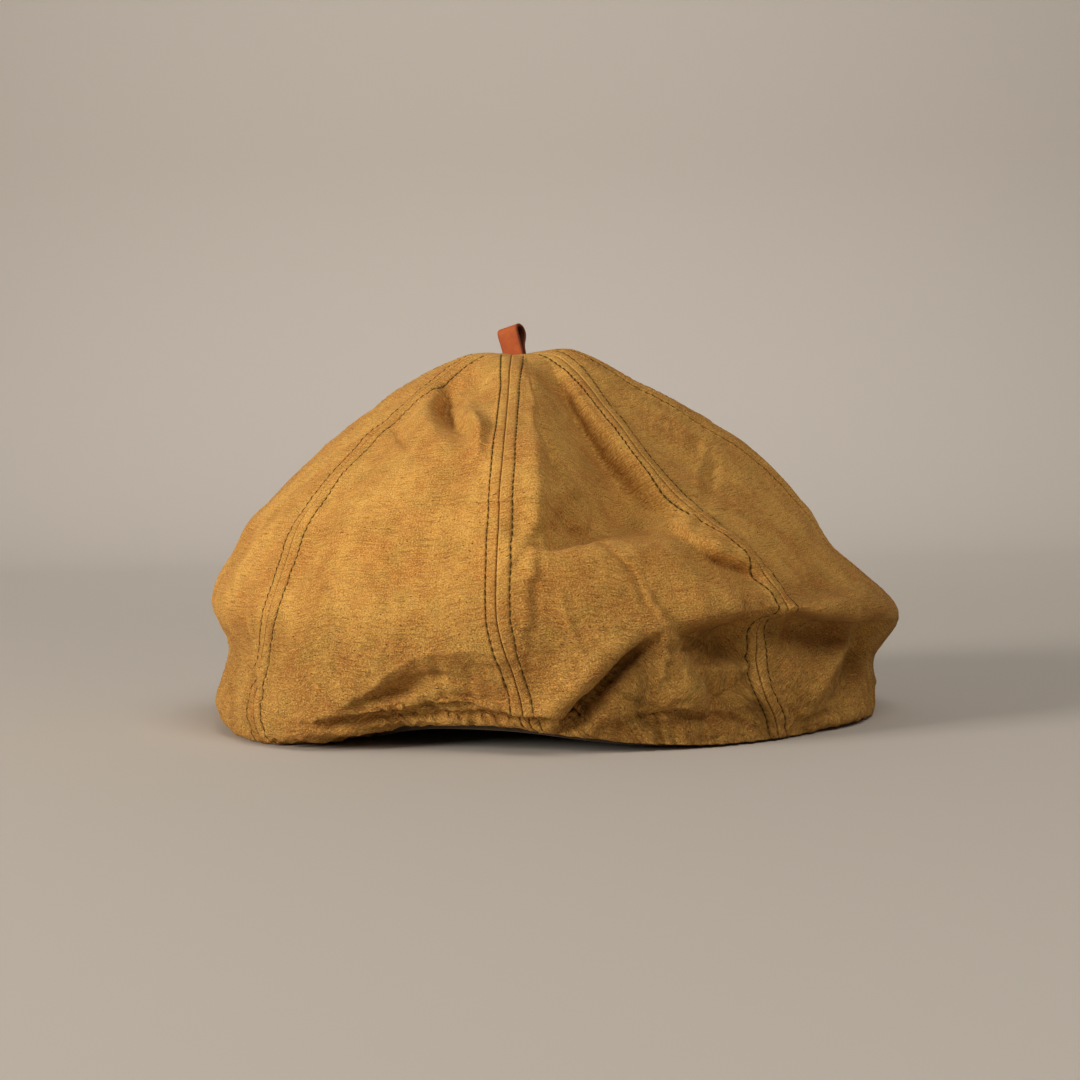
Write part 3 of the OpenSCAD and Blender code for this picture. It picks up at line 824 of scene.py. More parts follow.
def cloth_material(name, light, mid, dark, fleck, weave=1.0, slub=1.0, mottle=1.0):
    """Plain-woven washed cotton-linen. The attribute 'cloth' holds mm across and along the
    gore, so the yarns run the right way on every panel."""
    m, nt, bs = new_material(name)
    N = Nodes(nt)
    c = N.attr("cloth")
    sep = N.add("ShaderNodeSeparateXYZ")
    nt.links.new(c, sep.inputs[0])
    low = N.ramp(sep.outputs[1], 135.0, 178.0)
    # broad uneven dye, in blotches and streaks along the yarns
    blot = N.noise(N.scale(c, (0.050, 0.034, 1.0)), 1.0, 4.0, 0.60)
    blot2 = N.noise(N.scale(c, (0.16, 0.12, 1.0), (7, 3, 1)), 1.0, 4.0, 0.7)
    olive = N.noise(N.scale(c, (0.085, 0.11, 1.0), (1, 8, 6)), 1.0, 4.0, 0.7)
    streak = N.noise(N.scale(c, (0.10, 1.0, 1.0), (0, 5, 2)), 1.0, 3.0, 0.65)
    warp_st = N.noise(N.scale(c, (1.1, 0.08, 1.0), (4, 0, 3)), 1.0, 3.0, 0.65)
    # yarns: an uneven cross grain, darker where the yarns cross deep
    grain = N.noise(N.scale(c, (1.7, 1.8, 1.0)), 1.0, 1.0, 0.5)
    fine = N.noise(N.scale(c, (2.5, 2.7, 1.0), (5, 5, 5)), 1.0, 1.0, 0.5)
    # thick and thin places in the weft
    slubs = N.noise(N.scale(c, (0.13, 1.9, 1.0), (11, 0, 5)), 1.0, 1.5, 0.5)
    # dark flecks of seed and bark
    fl = N.noise(N.scale(c, (0.75, 1.45, 1.0), (2, 9, 4)), 1.0, 1.5, 0.5)
    crepe = N.noise(N.scale(c, (0.42, 0.95, 1.0), (3, 3, 8)), 1.0, 3.0, 0.60)
    tone = N.math("ADD", N.math("MULTIPLY", N.ramp(blot, 0.36, 0.66, 0, 1), 0.46 * mottle),
                  N.math("MULTIPLY", N.ramp(blot2, 0.35, 0.68, 0, 1), 0.30 * mottle))
    tone = N.math("ADD", tone, N.math("MULTIPLY", N.ramp(streak, 0.38, 0.66, 0, 1), 0.15))
    tone = N.math("ADD", tone, N.math("MULTIPLY", N.ramp(warp_st, 0.38, 0.66, 0, 1), 0.12))
    base = N.mix(tone, dark, light)
    base = N.mix(N.ramp(olive, 0.48, 0.64, 0.0, 0.40 * mottle), base, lin(176, 140, 62))
    base = N.mix(N.ramp(olive, 0.46, 0.34, 0.0, 0.26 * mottle), base, lin(196, 124, 58))
    base = N.mix(N.ramp(grain, 0.52, 0.36, 0.0, 0.40), base, lin(124, 82, 34))
    base = N.mix(N.ramp(grain, 0.52, 0.68, 0.0, 0.46), base, lin(240, 196, 114))
    base = N.mix(N.ramp(fine, 0.48, 0.32, 0.0, 0.34), base, lin(124, 80, 34))
    base = N.mix(N.ramp(slubs, 0.56, 0.70, 0.0, 0.36 * slub), base, light)
    base = N.mix(N.ramp(slubs, 0.44, 0.30, 0.0, 0.50 * slub), base, lin(128, 78, 34))
    # painted shade in the low places of the crepe relief, strongest in the slack cloth low down
    painted_pit_shade = N.math("MULTIPLY", N.ramp(crepe, 0.47, 0.33, 0.0, 0.50), N.math("ADD", N.math("MULTIPLY", low, 0.80), 0.20))
    base = N.mix(painted_pit_shade, base, lin(112, 70, 28))
    base = N.mix(N.ramp(fl, 0.66, 0.71, 0.0, 0.85), base, fleck)
    # tone: seams, ridges and the hem are paler where washing rubbed them, with painted highlight on ridges and on one
    # edge of each ditch; darker in the ditch (its thread and painted shade), with painted shade in the stitch-row
    # grooves and in hollows
    wear_and_painted_light = N.attr("tone", "Fac")
    base = N.mix(N.ramp(wear_and_painted_light, 0.0, 1.0, 0.0, 0.50, "LINEAR"), base, lin(236, 190, 108))
    base = N.mix(N.ramp(wear_and_painted_light, 0.0, -1.0, 0.0, 0.86, "LINEAR"), base, lin(66, 44, 16))
    nt.links.new(base, bs.inputs["Base Color"])
    bs.inputs["Roughness"].default_value = 0.94
    bs.inputs["Specular IOR Level"].default_value = 0.16
    bs.inputs["Sheen Weight"].default_value = 0.05
    bs.inputs["Sheen Roughness"].default_value = 0.55
    bs.inputs["Sheen Tint"].default_value = (0.95, 0.80, 0.50, 1)
    # crinkled by washing: pressed across the gore, strongest in the slack cloth low down
    # creased like crepe paper: narrow pressed lines between soft pads
    lines = N.ramp(N.math("ABSOLUTE", N.math("SUBTRACT", crepe, 0.5)), 0.0, 0.075, 0.0, 1.0)
    cr = N.math("MULTIPLY", N.math("ADD", N.math("MULTIPLY", lines, 0.26), crepe),
                N.math("ADD", N.math("MULTIPLY", low, 0.97), 0.03))
    b1 = N.add("ShaderNodeBump")
    b1.inputs["Strength"].default_value = 1.0 * weave
    b1.inputs["Distance"].default_value = 0.0009
    nt.links.new(cr, b1.inputs["Height"])
    # weave relief: yarns of about half a millimetre, uneven, with the slubs standing proud
    h = N.math("ADD", N.math("MULTIPLY", grain, 1.3), N.math("MULTIPLY", fine, 0.8))
    h = N.math("ADD", h, N.math("MULTIPLY", N.ramp(slubs, 0.36, 0.70, 0, 1), 0.7 * slub))
    b = N.add("ShaderNodeBump")
    b.inputs["Strength"].default_value = 0.85 * weave
    b.inputs["Distance"].default_value = 0.00013
    nt.links.new(h, b.inputs["Height"])
    nt.links.new(b1.outputs[0], b.inputs["Normal"])
    nt.links.new(b.outputs[0], bs.inputs["Normal"])
    return m


CLOTH = cloth_material("crown_cloth_m", lin(228, 174, 86), lin(204, 148, 70), lin(178, 114, 48), lin(82, 46, 20))
CLOTH_IN = cloth_material("cloth_inside_m", lin(190, 146, 78), lin(170, 126, 66), lin(146, 102, 52), lin(84, 52, 22), mottle=0.6)


def thread_material():
    m, nt, bs = new_material("thread_m")
    N = Nodes(nt)
    c = N.attr("cloth")
    n = N.noise(N.scale(c, (1.2, 1.2, 1.2)), 1.0, 2.0, 0.6)
    # two plies: the twist shows as slanting stripes along the thread
    tw = N.add("ShaderNodeTexWave", wave_type="BANDS", bands_direction="DIAGONAL")
    nt.links.new(N.scale(c, (1.0, 1.0, 1.0)), tw.inputs["Vector"])
    tw.inputs["Scale"].default_value = 0.9
    tw.inputs["Distortion"].default_value = 0.4
    # dark olive-brown, darker than the thread's own tone near the cloth's: painted shade of the groove and needle holes
    # it lies in
    base = N.mix(N.ramp(n, 0.35, 0.65), lin(72, 54, 18), lin(98, 76, 30))
    base = N.mix(N.math("MULTIPLY", tw.outputs["Fac"], 0.35), base, lin(50, 36, 12))
    nt.links.new(base, bs.inputs["Base Color"])
    bs.inputs["Roughness"].default_value = 0.85
    bs.inputs["Specular IOR Level"].default_value = 0.10
    bs.inputs["Sheen Weight"].default_value = 0.0
    b = N.add("ShaderNodeBump")
    b.inputs["Strength"].default_value = 0.5
    b.inputs["Distance"].default_value = 0.0001
    nt.links.new(tw.outputs["Fac"], b.inputs["Height"])
    nt.links.new(b.outputs[0], bs.inputs["Normal"])
    return m


def tape_material(name, a, b_, rib):
    """Woven tape or band: ribs across its length, a mottled dye."""
    m, nt, bs = new_material(name)
    N = Nodes(nt)
    c = N.attr("cloth")
    n = N.noise(N.scale(c, (0.22, 0.16, 1.0)), 1.0, 3.0, 0.6)
    f = N.noise(N.scale(c, (2.2, 2.2, 1.0)), 1.0, 2.0, 0.7)
    w = N.add("ShaderNodeTexWave", wave_type="BANDS", bands_direction="DIAGONAL" if rib == "twill" else "X")
    nt.links.new(c, w.inputs["Vector"])
    w.inputs["Scale"].default_value = 0.42
    w.inputs["Distortion"].default_value = 0.5
    base = N.mix(N.ramp(n, 0.35, 0.65), a, b_)
    base = N.mix(N.math("MULTIPLY", w.outputs["Fac"], 0.30), base, tuple(x * 0.5 for x in a[:3]) + (1,))
    base = N.mix(N.ramp(f, 0.4, 0.7, 0, 0.3), base, b_)
    nt.links.new(base, bs.inputs["Base Color"])
    bs.inputs["Roughness"].default_value = 0.88
    bs.inputs["Specular IOR Level"].default_value = 0.25
    bs.inputs["Sheen Weight"].default_value = 0.12
    b = N.add("ShaderNodeBump")
    b.inputs["Strength"].default_value = 0.6
    b.inputs["Distance"].default_value = 0.0002
    nt.links.new(N.math("ADD", w.outputs["Fac"], N.math("MULTIPLY", f, 0.7)), b.inputs["Height"])
    nt.links.new(b.outputs[0], bs.inputs["Normal"])
    return m


def leather_material(name="loop_leather_m"):
    """Vegetable-tanned strap: fine grain, uneven dye, rubbed and darkened cut edges (tone -1)."""
    m, nt, bs = new_material(name)
    N = Nodes(nt)
    c = N.attr("cloth")
    grain = N.add("ShaderNodeTexVoronoi", feature="DISTANCE_TO_EDGE")
    nt.links.new(N.scale(c, (2.6, 2.6, 2.6)), grain.inputs["Vector"])
    grain.inputs["Scale"].default_value = 1.0
    pores = N.ramp(grain.outputs[0], 0.0, 0.14, 0, 1)
    n = N.noise(N.scale(c, (0.35, 0.35, 0.35)), 1.0, 3.0, 0.6)
    fine = N.noise(N.scale(c, (3.5, 3.5, 3.5)), 1.0, 2.0, 0.6)
    base = N.mix(N.ramp(n, 0.3, 0.7), lin(176, 82, 34), lin(192, 98, 44))
    base = N.mix(N.ramp(fine, 0.4, 0.7, 0, 0.25), base, lin(156, 68, 28))
    base = N.mix(N.math("MULTIPLY", N.math("SUBTRACT", 1.0, pores), 0.28), base, lin(140, 58, 26))
    # the face inside the loop, the flesh side, is darkened towards near-black with painted shade; the tails'
    # coordinates lie past the ramp, so they are dark all over
    sep = N.add("ShaderNodeSeparateXYZ")
    nt.links.new(c, sep.inputs[0])
    base = N.mix(N.ramp(sep.outputs[2], 5.1, 5.5, 0, 0.88), base, lin(58, 28, 14))
    edge = N.attr("tone", "Fac")
    base = N.mix(N.ramp(edge, 0.0, -1.0, 0, 0.72, "LINEAR"), base, lin(92, 44, 22))
    base = N.mix(N.ramp(edge, 0.0, 1.0, 0, 0.45, "LINEAR"), base, lin(228, 134, 78))
    nt.links.new(base, bs.inputs["Base Color"])
    nt.links.new(N.ramp(n, 0.2, 0.8, 0.52, 0.66), bs.inputs["Roughness"])
    bs.inputs["Specular IOR Level"].default_value = 0.28
    b = N.add("ShaderNodeBump")
    b.inputs["Strength"].default_value = 0.45
    b.inputs["Distance"].default_value = 0.00012
    nt.links.new(N.math("ADD", pores, N.math("MULTIPLY", fine, 0.4)), b.inputs["Height"])
    nt.links.new(b.outputs[0], bs.inputs["Normal"])
    return m


THREAD = thread_material()
TAPE = tape_material("seam_tape_m", lin(150, 116, 66), lin(178, 142, 88), "twill")
# the sweatband's dark brown also serves as painted shade in the gap under the front arch
BAND = tape_material("sweatband_m", lin(74, 62, 48), lin(96, 82, 64), "twill")
ELASTIC = tape_material("elastic_m", lin(214, 208, 196), lin(232, 228, 218), "rib")
LEATHER = leather_material()

# ------------------------------------------------------------------ crown panels
FLAP_R = 87.95                       # outer face of the turned-in hem allowance, against the band
FLAP_ROWS = 14


def hem_turn(Q, I):
    """The hem allowance: from the edge it turns under, and goes up inside the casing."""
    e, f = Q[-1], I[-1]
    v = e[:, :2] - HEM_C
    r = np.linalg.norm(v, axis=1)
    v = v / r[:, None]
    z = e[:, 2]
    qs, is_ = [], []
    for k in range(1, FLAP_ROWS + 1):
        t = k / FLAP_ROWS
        # a quarter-round from the edge to the band, then straight up
        if t < 0.6:
            a = t / 0.6 * np.pi / 2
            rr = FLAP_R + (r - FLAP_R) * (1 - np.sin(a))
            zz = z + 0.25 - 0.85 * np.sin(2 * a) * np.minimum(1, z / 1.2) + 1.2 * (1 - np.cos(a))
            ni = np.stack([v[:, 0] * np.sin(a) * 0.6, v[:, 1] * np.sin(a) * 0.6, np.full(len(z), 0.75 * np.cos(a) + 0.02)], -1)
        else:
            w = (t - 0.6) / 0.4
            rr = np.full(len(z), FLAP_R)
            zz = (z + 1.45) * (1 - w) + np.maximum(12.4, z + 4.0) * w
            ni = np.stack([v[:, 0] * 0.5, v[:, 1] * 0.5, np.full(len(z), 0.01)], -1)
        q = np.stack([HEM_C[0] + v[:, 0] * rr, HEM_C[1] + v[:, 1] * rr, np.maximum(zz, 0.12)], -1)
        qs.append(q); is_.append(q + ni)
    return np.concatenate([Q, np.array(qs)]), np.concatenate([I, np.array(is_)])


def build_panel(k):
    U, R, D, G = gore_surface(k)
    Q, N, M, S, d, I = finished(U, R, D, G, k)
    nc = U.shape[1]
    # the two edges of a seam come close in the ditch without sharing a face
    side = np.gradient(Q, axis=1)
    side /= np.maximum(np.linalg.norm(side, axis=-1, keepdims=True), 1e-9)
    for A in (Q, I):
        A[:, 0] += side[:, 0] * 0.03
        A[:, -1] -= side[:, -1] * 0.03
    I[..., 2] = np.maximum(I[..., 2], 0.62)
    right_of = D <= G[:, None] / 2
    at = row_at(M, np.where(right_of, k, (k + 1) % 8) * 1.0, np.where(right_of, 1.0, -1.0))
    # tone along the seams: the ditch is drawn dark in dashes, its thread and painted shade; painted shade along each
    # stitch-row groove; a painted highlight on one edge of the ditch
    lines = -(0.62 + 0.26 * np.cos(2 * np.pi * M / 2.3)) * np.exp(-(d / 0.20) ** 2) \
        - 0.80 * np.exp(-((d - at) / 0.30) ** 2) * smooth(9.0, 14.0, M) \
        + np.where(right_of, 0.42, 0.08) * np.exp(-((d - 0.60) / 0.30) ** 2)
    Q, I = hem_turn(Q, I)
    nr = Q.shape[0]
    ext = FLAP_ROWS
    N2 = normals(Q, wrap=False)
    M = np.concatenate([M, M[-1:] + np.cumsum(np.linalg.norm(np.diff(Q[-ext - 1:], axis=0), axis=-1), 0)])
    d = np.concatenate([d, np.repeat(d[-1:], ext, 0)])
    D = np.concatenate([D, np.repeat(D[-1:], ext, 0)])
    S = np.concatenate([S, np.repeat(S[-1:], ext, 0)])
    G2 = np.concatenate([G, np.full(ext, G[-1])])
    # cloth coordinates: across from the middle of the gore, and down from the tip
    cx = D - G2[:, None] / 2
    coords = np.stack([cx, M, np.full_like(cx, 37.0 * k)], -1)
    # curvature of the finished face: ridges paler, partly rubbed by washing and partly painted highlight; hollows
    # darker with painted shade
    lap = np.zeros_like(Q)
    lap[1:-1, 1:-1] = (Q[:-2, 1:-1] + Q[2:, 1:-1] - 2 * Q[1:-1, 1:-1]) / np.maximum(
        np.linalg.norm(Q[2:, 1:-1] - Q[:-2, 1:-1], axis=-1, keepdims=True) ** 2 / 4, 1e-3)
    curv = -(lap * N2).sum(-1)
    for _ in range(4):
        curv[1:-1] = 0.25 * curv[:-2] + 0.5 * curv[1:-1] + 0.25 * curv[2:]
    tone = 0.20 * np.tanh(curv * 1.6) + np.concatenate([lines, np.repeat(lines[-1:], ext, 0)]) + 0.12 * smooth(9.3, 10, S)
    n = nr * nc
    verts = np.concatenate([Q.reshape(-1, 3), I.reshape(-1, 3)])
    cc = np.concatenate([coords.reshape(-1, 3)] * 2)
    tt = np.concatenate([tone.ravel(), np.full(n, -0.1)])
    outer = grid_faces(nr, nc)
    inner = grid_faces(nr, nc, flip=True, off=n)
    i = np.arange(nr - 1)
    left = np.stack([i * nc, n + i * nc, n + (i + 1) * nc, (i + 1) * nc], -1)
    right = np.stack([i * nc + nc - 1, (i + 1) * nc + nc - 1, n + (i + 1) * nc + nc - 1, n + i * nc + nc - 1], -1)
    j = np.arange(nc - 1)
    top = np.stack([j, j + 1, n + j + 1, n + j], -1)
    b0 = (nr - 1) * nc
    bot = np.stack([b0 + j, n + b0 + j, n + b0 + j + 1, b0 + j + 1], -1)
    ob = make_mesh("gore_%d" % (k + 1), verts, [outer, inner, left, right, top, bot], CLOTH, cc, True, tt)
    area = 0.5 * (np.linalg.norm(np.cross(Q[1:, :-1] - Q[:-1, :-1], Q[1:, 1:] - Q[:-1, :-1]), axis=-1).sum() +
                  np.linalg.norm(np.cross(Q[1:, 1:] - Q[:-1, :-1], Q[:-1, 1:] - Q[:-1, :-1]), axis=-1).sum())
    return ob, area * 1e-6, G, M


panels = []
for k in range(8):
    ob, area, G, M = build_panel(k)
    panels.append((ob, area))
    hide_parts("crown_panel_%d" % (k + 1))
    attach(ob, "hat")
    print("gore", k + 1, "area m2 %.5f" % area, "widest mm %.1f" % G.max(), "length mm %.1f" % M.max())

# ------------------------------------------------------------------ stitches
def seam_curve(k, side, rows):
    """Points, normals and lengths of a line beside seam k: side -1 or 1, ROW_AT mm away."""
    kk = k if side > 0 else (k - 1) % 8
    G = np.interp(rows, np.linspace(0, 1, NT), gore_mm[:, kk])
    m0 = np.interp(rows, np.linspace(0, 1, NT), depth_mm[:, (k * (NU // 8)) % NU])
    off = row_at(m0, float(k), float(side))
    D = (off if side > 0 else G - off)[:, None]
    U = kk + D / G[:, None]
    R = rows[:, None]
    Q, N, M, S, d, I = finished(U, R, D, G, kk)
    return Q[:, 0], N[:, 0], M[:, 0], G, S[:, 0]


def stitch_run(P, N, arc, start, end, radius, name_seed, pitch=PITCH, fill=0.93, rise=0.14):
    """Stitches laid along a curve: returns vertices, faces and coordinates."""
    r = np.random.default_rng(name_seed)
    T = np.gradient(P, axis=0)
    T /= np.maximum(np.linalg.norm(T, axis=1, keepdims=True), 1e-9)
    verts, faces, coords = [], [], []
    base = 0
    ns, nr = 8, 7
    s = start
    while s + pitch < end:
        a = s + pitch * (1 - fill) / 2 + r.uniform(-0.06, 0.06)
        b = a + pitch * fill + r.uniform(-0.10, 0.10)
        f = np.linspace(0, 1, nr)
        q = a + (b - a) * f
        c = np.stack([np.interp(q, arc, P[:, i]) for i in range(3)], 1)
        n = np.stack([np.interp(q, arc, N[:, i]) for i in range(3)], 1)
        t = np.stack([np.interp(q, arc, T[:, i]) for i in range(3)], 1)
        n /= np.linalg.norm(n, axis=1, keepdims=True)
        sd = np.cross(t, n)
        sd /= np.linalg.norm(sd, axis=1, keepdims=True)
        skew = r.uniform(-0.26, 0.26)
        arch = np.abs(np.sin(np.pi * f)) ** 0.5
        lift = arch * rise - (1 - arch) * 0.34
        c = c + n * lift[:, None] + sd * (skew * (f - 0.5))[:, None]
        rad = radius * (0.62 + 0.38 * np.sin(np.pi * f) ** 0.6)
        ang = np.arange(ns) / ns * 2 * np.pi
        ring = c[:, None] + rad[:, None, None] * (np.cos(ang)[None, :, None] * sd[:, None] + np.sin(ang)[None, :, None] * n[:, None])
        v = ring.reshape(-1, 3)
        v = np.concatenate([v, c[:1] - t[:1] * radius * 0.4, c[-1:] + t[-1:] * radius * 0.4])
        i, j = np.meshgrid(np.arange(nr - 1), np.arange(ns), indexing="ij")
        q4 = np.stack([i * ns + j, i * ns + (j + 1) % ns, (i + 1) * ns + (j + 1) % ns, (i + 1) * ns + j], -1).reshape(-1, 4)
        jj = np.arange(ns)
        c0 = np.stack([np.full(ns, nr * ns), (jj + 1) % ns, jj], -1)
        c1 = np.stack([np.full(ns, nr * ns + 1), (nr - 1) * ns + jj, (nr - 1) * ns + (jj + 1) % ns], -1)
        verts.append(v)
        faces.append((q4 + base, c0 + base, c1 + base))
        cc = np.stack([np.concatenate([np.tile(ang, nr) * radius, [0, 0]]),
                       np.concatenate([np.repeat(q, ns), [a, b]]), np.full(len(v), name_seed * 1.7)], -1)
        coords.append(cc)
        base += len(v)
        s += pitch
    return verts, faces, coords


def join_runs(name, runs, mat):
    V, Q4, T3, C = [], [], [], []
    base = 0
    for verts, faces, coords in runs:
        n = sum(len(v) for v in verts)
        V += verts; C += coords
        for q, a, b in faces:
            Q4.append(q + base); T3.append(a + base); T3.append(b + base)
        base += n
    V = np.concatenate(V)
    V[:, 2] = np.maximum(V[:, 2], 0.03)
    ob = make_mesh(name, V, [np.concatenate(Q4), np.concatenate(T3)], mat, np.concatenate(C))
    return ob


FINE = np.linspace(0, 1, 2400)
for k in range(8):
    runs = []
    for side in (-1, 1):
        P, N, M, G, S = seam_curve(k, side, FINE)
        # rows begin where the gores are wide enough for them, and run to the hem
        ok = np.where((G > 2 * ROW_AT + 1.6) & (M > 14))[0]
        start = M[ok[0]] + 0.7 * (side > 0)
        end = M[-1] - 1.2
        P = P.copy(); P[:, 2] = np.maximum(P[:, 2], 0.45)
        runs.append(stitch_run(P, N, M, start, end, 0.25, 100 + 2 * k + (side > 0)))
    ob = join_runs("stitches_%d" % (k + 1), runs, THREAD)
    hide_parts("topstitching_%d" % (k + 1))
    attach(ob, "hat")


def strip_solid(name, outer, inner, mat, coords, closed_cols=False):
    """A closed strip between two grids of points (rows, columns), with rims."""
    nr, nc = outer.shape[:2]
    n = nr * nc
    verts = np.concatenate([outer.reshape(-1, 3), inner.reshape(-1, 3)])
    i = np.arange(nr - 1)
    j = np.arange(nc - 1)
    b0 = (nr - 1) * nc
    faces = [grid_faces(nr, nc), grid_faces(nr, nc, flip=True, off=n),
             np.stack([i * nc, n + i * nc, n + (i + 1) * nc, (i + 1) * nc], -1),
             np.stack([i * nc + nc - 1, (i + 1) * nc + nc - 1, n + (i + 1) * nc + nc - 1, n + i * nc + nc - 1], -1),
             np.stack([j, j + 1, n + j + 1, n + j], -1),
             np.stack([b0 + j, n + b0 + j, n + b0 + j + 1, b0 + j + 1], -1)]
    return make_mesh(name, verts, faces, mat, np.concatenate([coords.reshape(-1, 3)] * 2))


# ------------------------------------------------------------------ seam tapes, inside
tapes = []
for k in range(8):
    rows = np.linspace(0, 1, 200)
    Gl = np.interp(rows, np.linspace(0, 1, NT), gore_mm[:, (k - 1) % 8])
    Gr = np.interp(rows, np.linspace(0, 1, NT), gore_mm[:, k])
    q = np.array([-5.0, -4.9, -4.2, -3.2, -2.2, -1.2, -0.4, 0.4, 1.2, 2.2, 3.2, 4.2, 4.9, 5.0])
    U = np.where(q[None] < 0, k + q[None] / Gl[:, None], k + q[None] / Gr[:, None])
    Rw = np.broadcast_to(rows[:, None], U.shape)
    P = sample(X0, U, Rw)
    N = sample(N0s, U, Rw)
    N /= np.linalg.norm(N, axis=-1, keepdims=True)
    M = sample(depth_mm, U, Rw)
    keep = (Gl > 14) & (Gr > 14) & (rows < 0.93)
    P, N, M = P[keep], N[keep], M[keep]
    m = M[:, :1]
    # the tape ripples a little between its own stitches
    rip = 0.12 * noise3(np.stack([M, np.broadcast_to(q, M.shape) * 0.4 + 50 * k, 0 * M], -1), 4.0, 61)
    edge = (np.abs(q) > 4.95)[None]
    mid = np.exp(-(q / 1.6) ** 2)[None]
    top = -2.02 - 0.25 * mid + rip - 0.10 * edge
    bot = -2.50 - 0.25 * mid + rip + 0.10 * edge
    O_ = P + N * top[..., None]
    I_ = P + N * bot[..., None]
    I_[..., 2] = np.maximum(I_[..., 2], 1.0); O_[..., 2] = np.maximum(O_[..., 2], 1.4)
    coords = np.stack([np.broadcast_to(q, M.shape), M, np.full_like(M, 11.0 * k)], -1)
    ob = strip_solid("binding_tape_%d" % (k + 1), O_, I_, TAPE, coords)
    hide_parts("seam_tape_%d" % (k + 1))
    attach(ob, "hat")
    tapes.append((ob, M[-1].mean() - M[0].mean()))

# ------------------------------------------------------------------ head opening
hem_row = X0[-1]
hem_az = np.degrees(np.arctan2(hem_row[:, 0] - HEM_C[0], -(hem_row[:, 1] - HEM_C[1])))
o_ = np.argsort(hem_az)
HEM_AZ, HEM_Z = hem_az[o_], hem_row[o_, 2]


def hem_z(az):
    a = (az + 180) % 360 - 180
    z = np.interp(a, HEM_AZ, HEM_Z, period=360)
    return z


def band_ring(name, prof, mat, wob_r, wob_z, seed, arch, nseg=720, rigid=False):
    """A band round the head opening: prof is a closed outline of (radius, height)."""
    az = np.arange(nseg) / nseg * 360.0
    a = np.radians(az)
    base = np.array([np.mean(hem_z(x + np.linspace(-7, 7, 9))) for x in az])
    lift = np.clip(base - 1.4, 0, None) * arch
    circ = np.stack([np.cos(a) * 90, np.sin(a) * 90, 0 * a], -1)
    wr = noise3(circ, 17.0, seed) * 0.6 + noise3(circ, 7.0, seed + 1) * 0.4
    wz = noise3(circ, 26.0, seed + 2)
    prof = np.array(prof, float)
    h = (prof[:, 1] - prof[:, 1].min()) / np.ptp(prof[:, 1])
    r = prof[None, :, 0] + wob_r * wr[:, None] * (0.3 + 0.7 * h[None])
    z = prof[None, :, 1] + wob_z * wz[:, None] * h[None] + lift[:, None] * (1 if rigid else 1 - h[None])
    V = np.stack([HEM_C[0] + r * np.sin(a)[:, None], HEM_C[1] - r * np.cos(a)[:, None], z], -1)
    n, m = V.shape[:2]
    i, j = np.meshgrid(np.arange(n), np.arange(m), indexing="ij")
    f = np.stack([i * m + j, ((i + 1) % n) * m + j, ((i + 1) % n) * m + (j + 1) % m, i * m + (j + 1) % m], -1).reshape(-1, 4)
    s = np.concatenate([[0], np.cumsum(np.linalg.norm(np.diff(prof, axis=0), axis=1))])
    cc = np.stack([np.broadcast_to(prof[None, :, 1], (n, m)), np.broadcast_to((a * 88)[:, None], (n, m)),
                   np.broadcast_to(prof[None, :, 0], (n, m))], -1)
    return make_mesh(name, V.reshape(-1, 3), [f], mat, cc.reshape(-1, 3))


# sweatband: a bias strip with both edges turned, 24 mm wide
zz = np.linspace(1.2, 22.8, 19)
bump = 0.10 * np.sin(zz * 1.1)
band_prof = [(86.72, 0.12), (87.30, 0.06), (87.52, 0.5), (87.58, 1.2)] + \
    [(87.56, z) for z in zz[1:-1]] + [(87.58, 22.8), (87.55, 23.6), (87.25, 23.95), (86.85, 23.95), (86.56, 23.6), (86.50, 22.8)] + \
    [(86.62 + 0.06 * np.sin(z * 0.9), z) for z in zz[::-1][1:-1]] + [(86.52, 1.2), (86.54, 0.5)]
band = band_ring("sweatband_band", band_prof, BAND, 0.10, 0.5, 71, 0.9)
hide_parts("sweatband")
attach(band, "hat")

# elastic: five ribs, inside the casing
el = []
for i in range(25):
    z = 3.0 + 6.0 * i / 24
    el.append((89.45 + 0.10 * abs(math.sin(math.pi * 5 * i / 24)), z))
el += [(88.70 - 0.06 * abs(math.sin(math.pi * 5 * i / 24)), 3.0 + 6.0 * i / 24) for i in range(24, -1, -1)]
elastic = band_ring("casing_elastic", el, ELASTIC, 0.0, 0.0, 81, 0.9, rigid=True)
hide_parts("hem_elastic")
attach(elastic, "hat")

# the row that closes the casing, seen on the inside of the band
az = np.linspace(0, 360, 1600)
a = np.radians(az)
liftc = np.clip(np.array([np.mean(hem_z(x + np.linspace(-7, 7, 9))) for x in az]) - 1.4, 0, None) * 0.9
hz = 10.8 + liftc * (1 - 10.8 / 24)
C = np.stack([HEM_C[0] + 86.42 * np.sin(a), HEM_C[1] - 86.42 * np.cos(a), hz], -1)
NI = np.stack([-np.sin(a), np.cos(a), 0 * a], -1)
arc = np.concatenate([[0], np.cumsum(np.linalg.norm(np.diff(C, axis=0), axis=1))])
ob = join_runs("casing_stitches", [stitch_run(C, NI, arc, 0.3, arc[-1] - 0.5, 0.25, 301)], THREAD)
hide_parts("hem_stitching")
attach(ob, "hat")

# ------------------------------------------------------------------ the leather loop
TIP = np.array([-13.0, 3.0, 134.0])
LX = np.array([0.7708, -0.6022, 0.2079]); LX /= np.linalg.norm(LX)
LZ = np.array([-0.1638, 0.1280, 0.9781]); LZ -= LX * (LZ @ LX); LZ /= np.linalg.norm(LZ)
LY = np.cross(LZ, LX)
HINGE = np.array([-13.0, 3.0, 136.94])


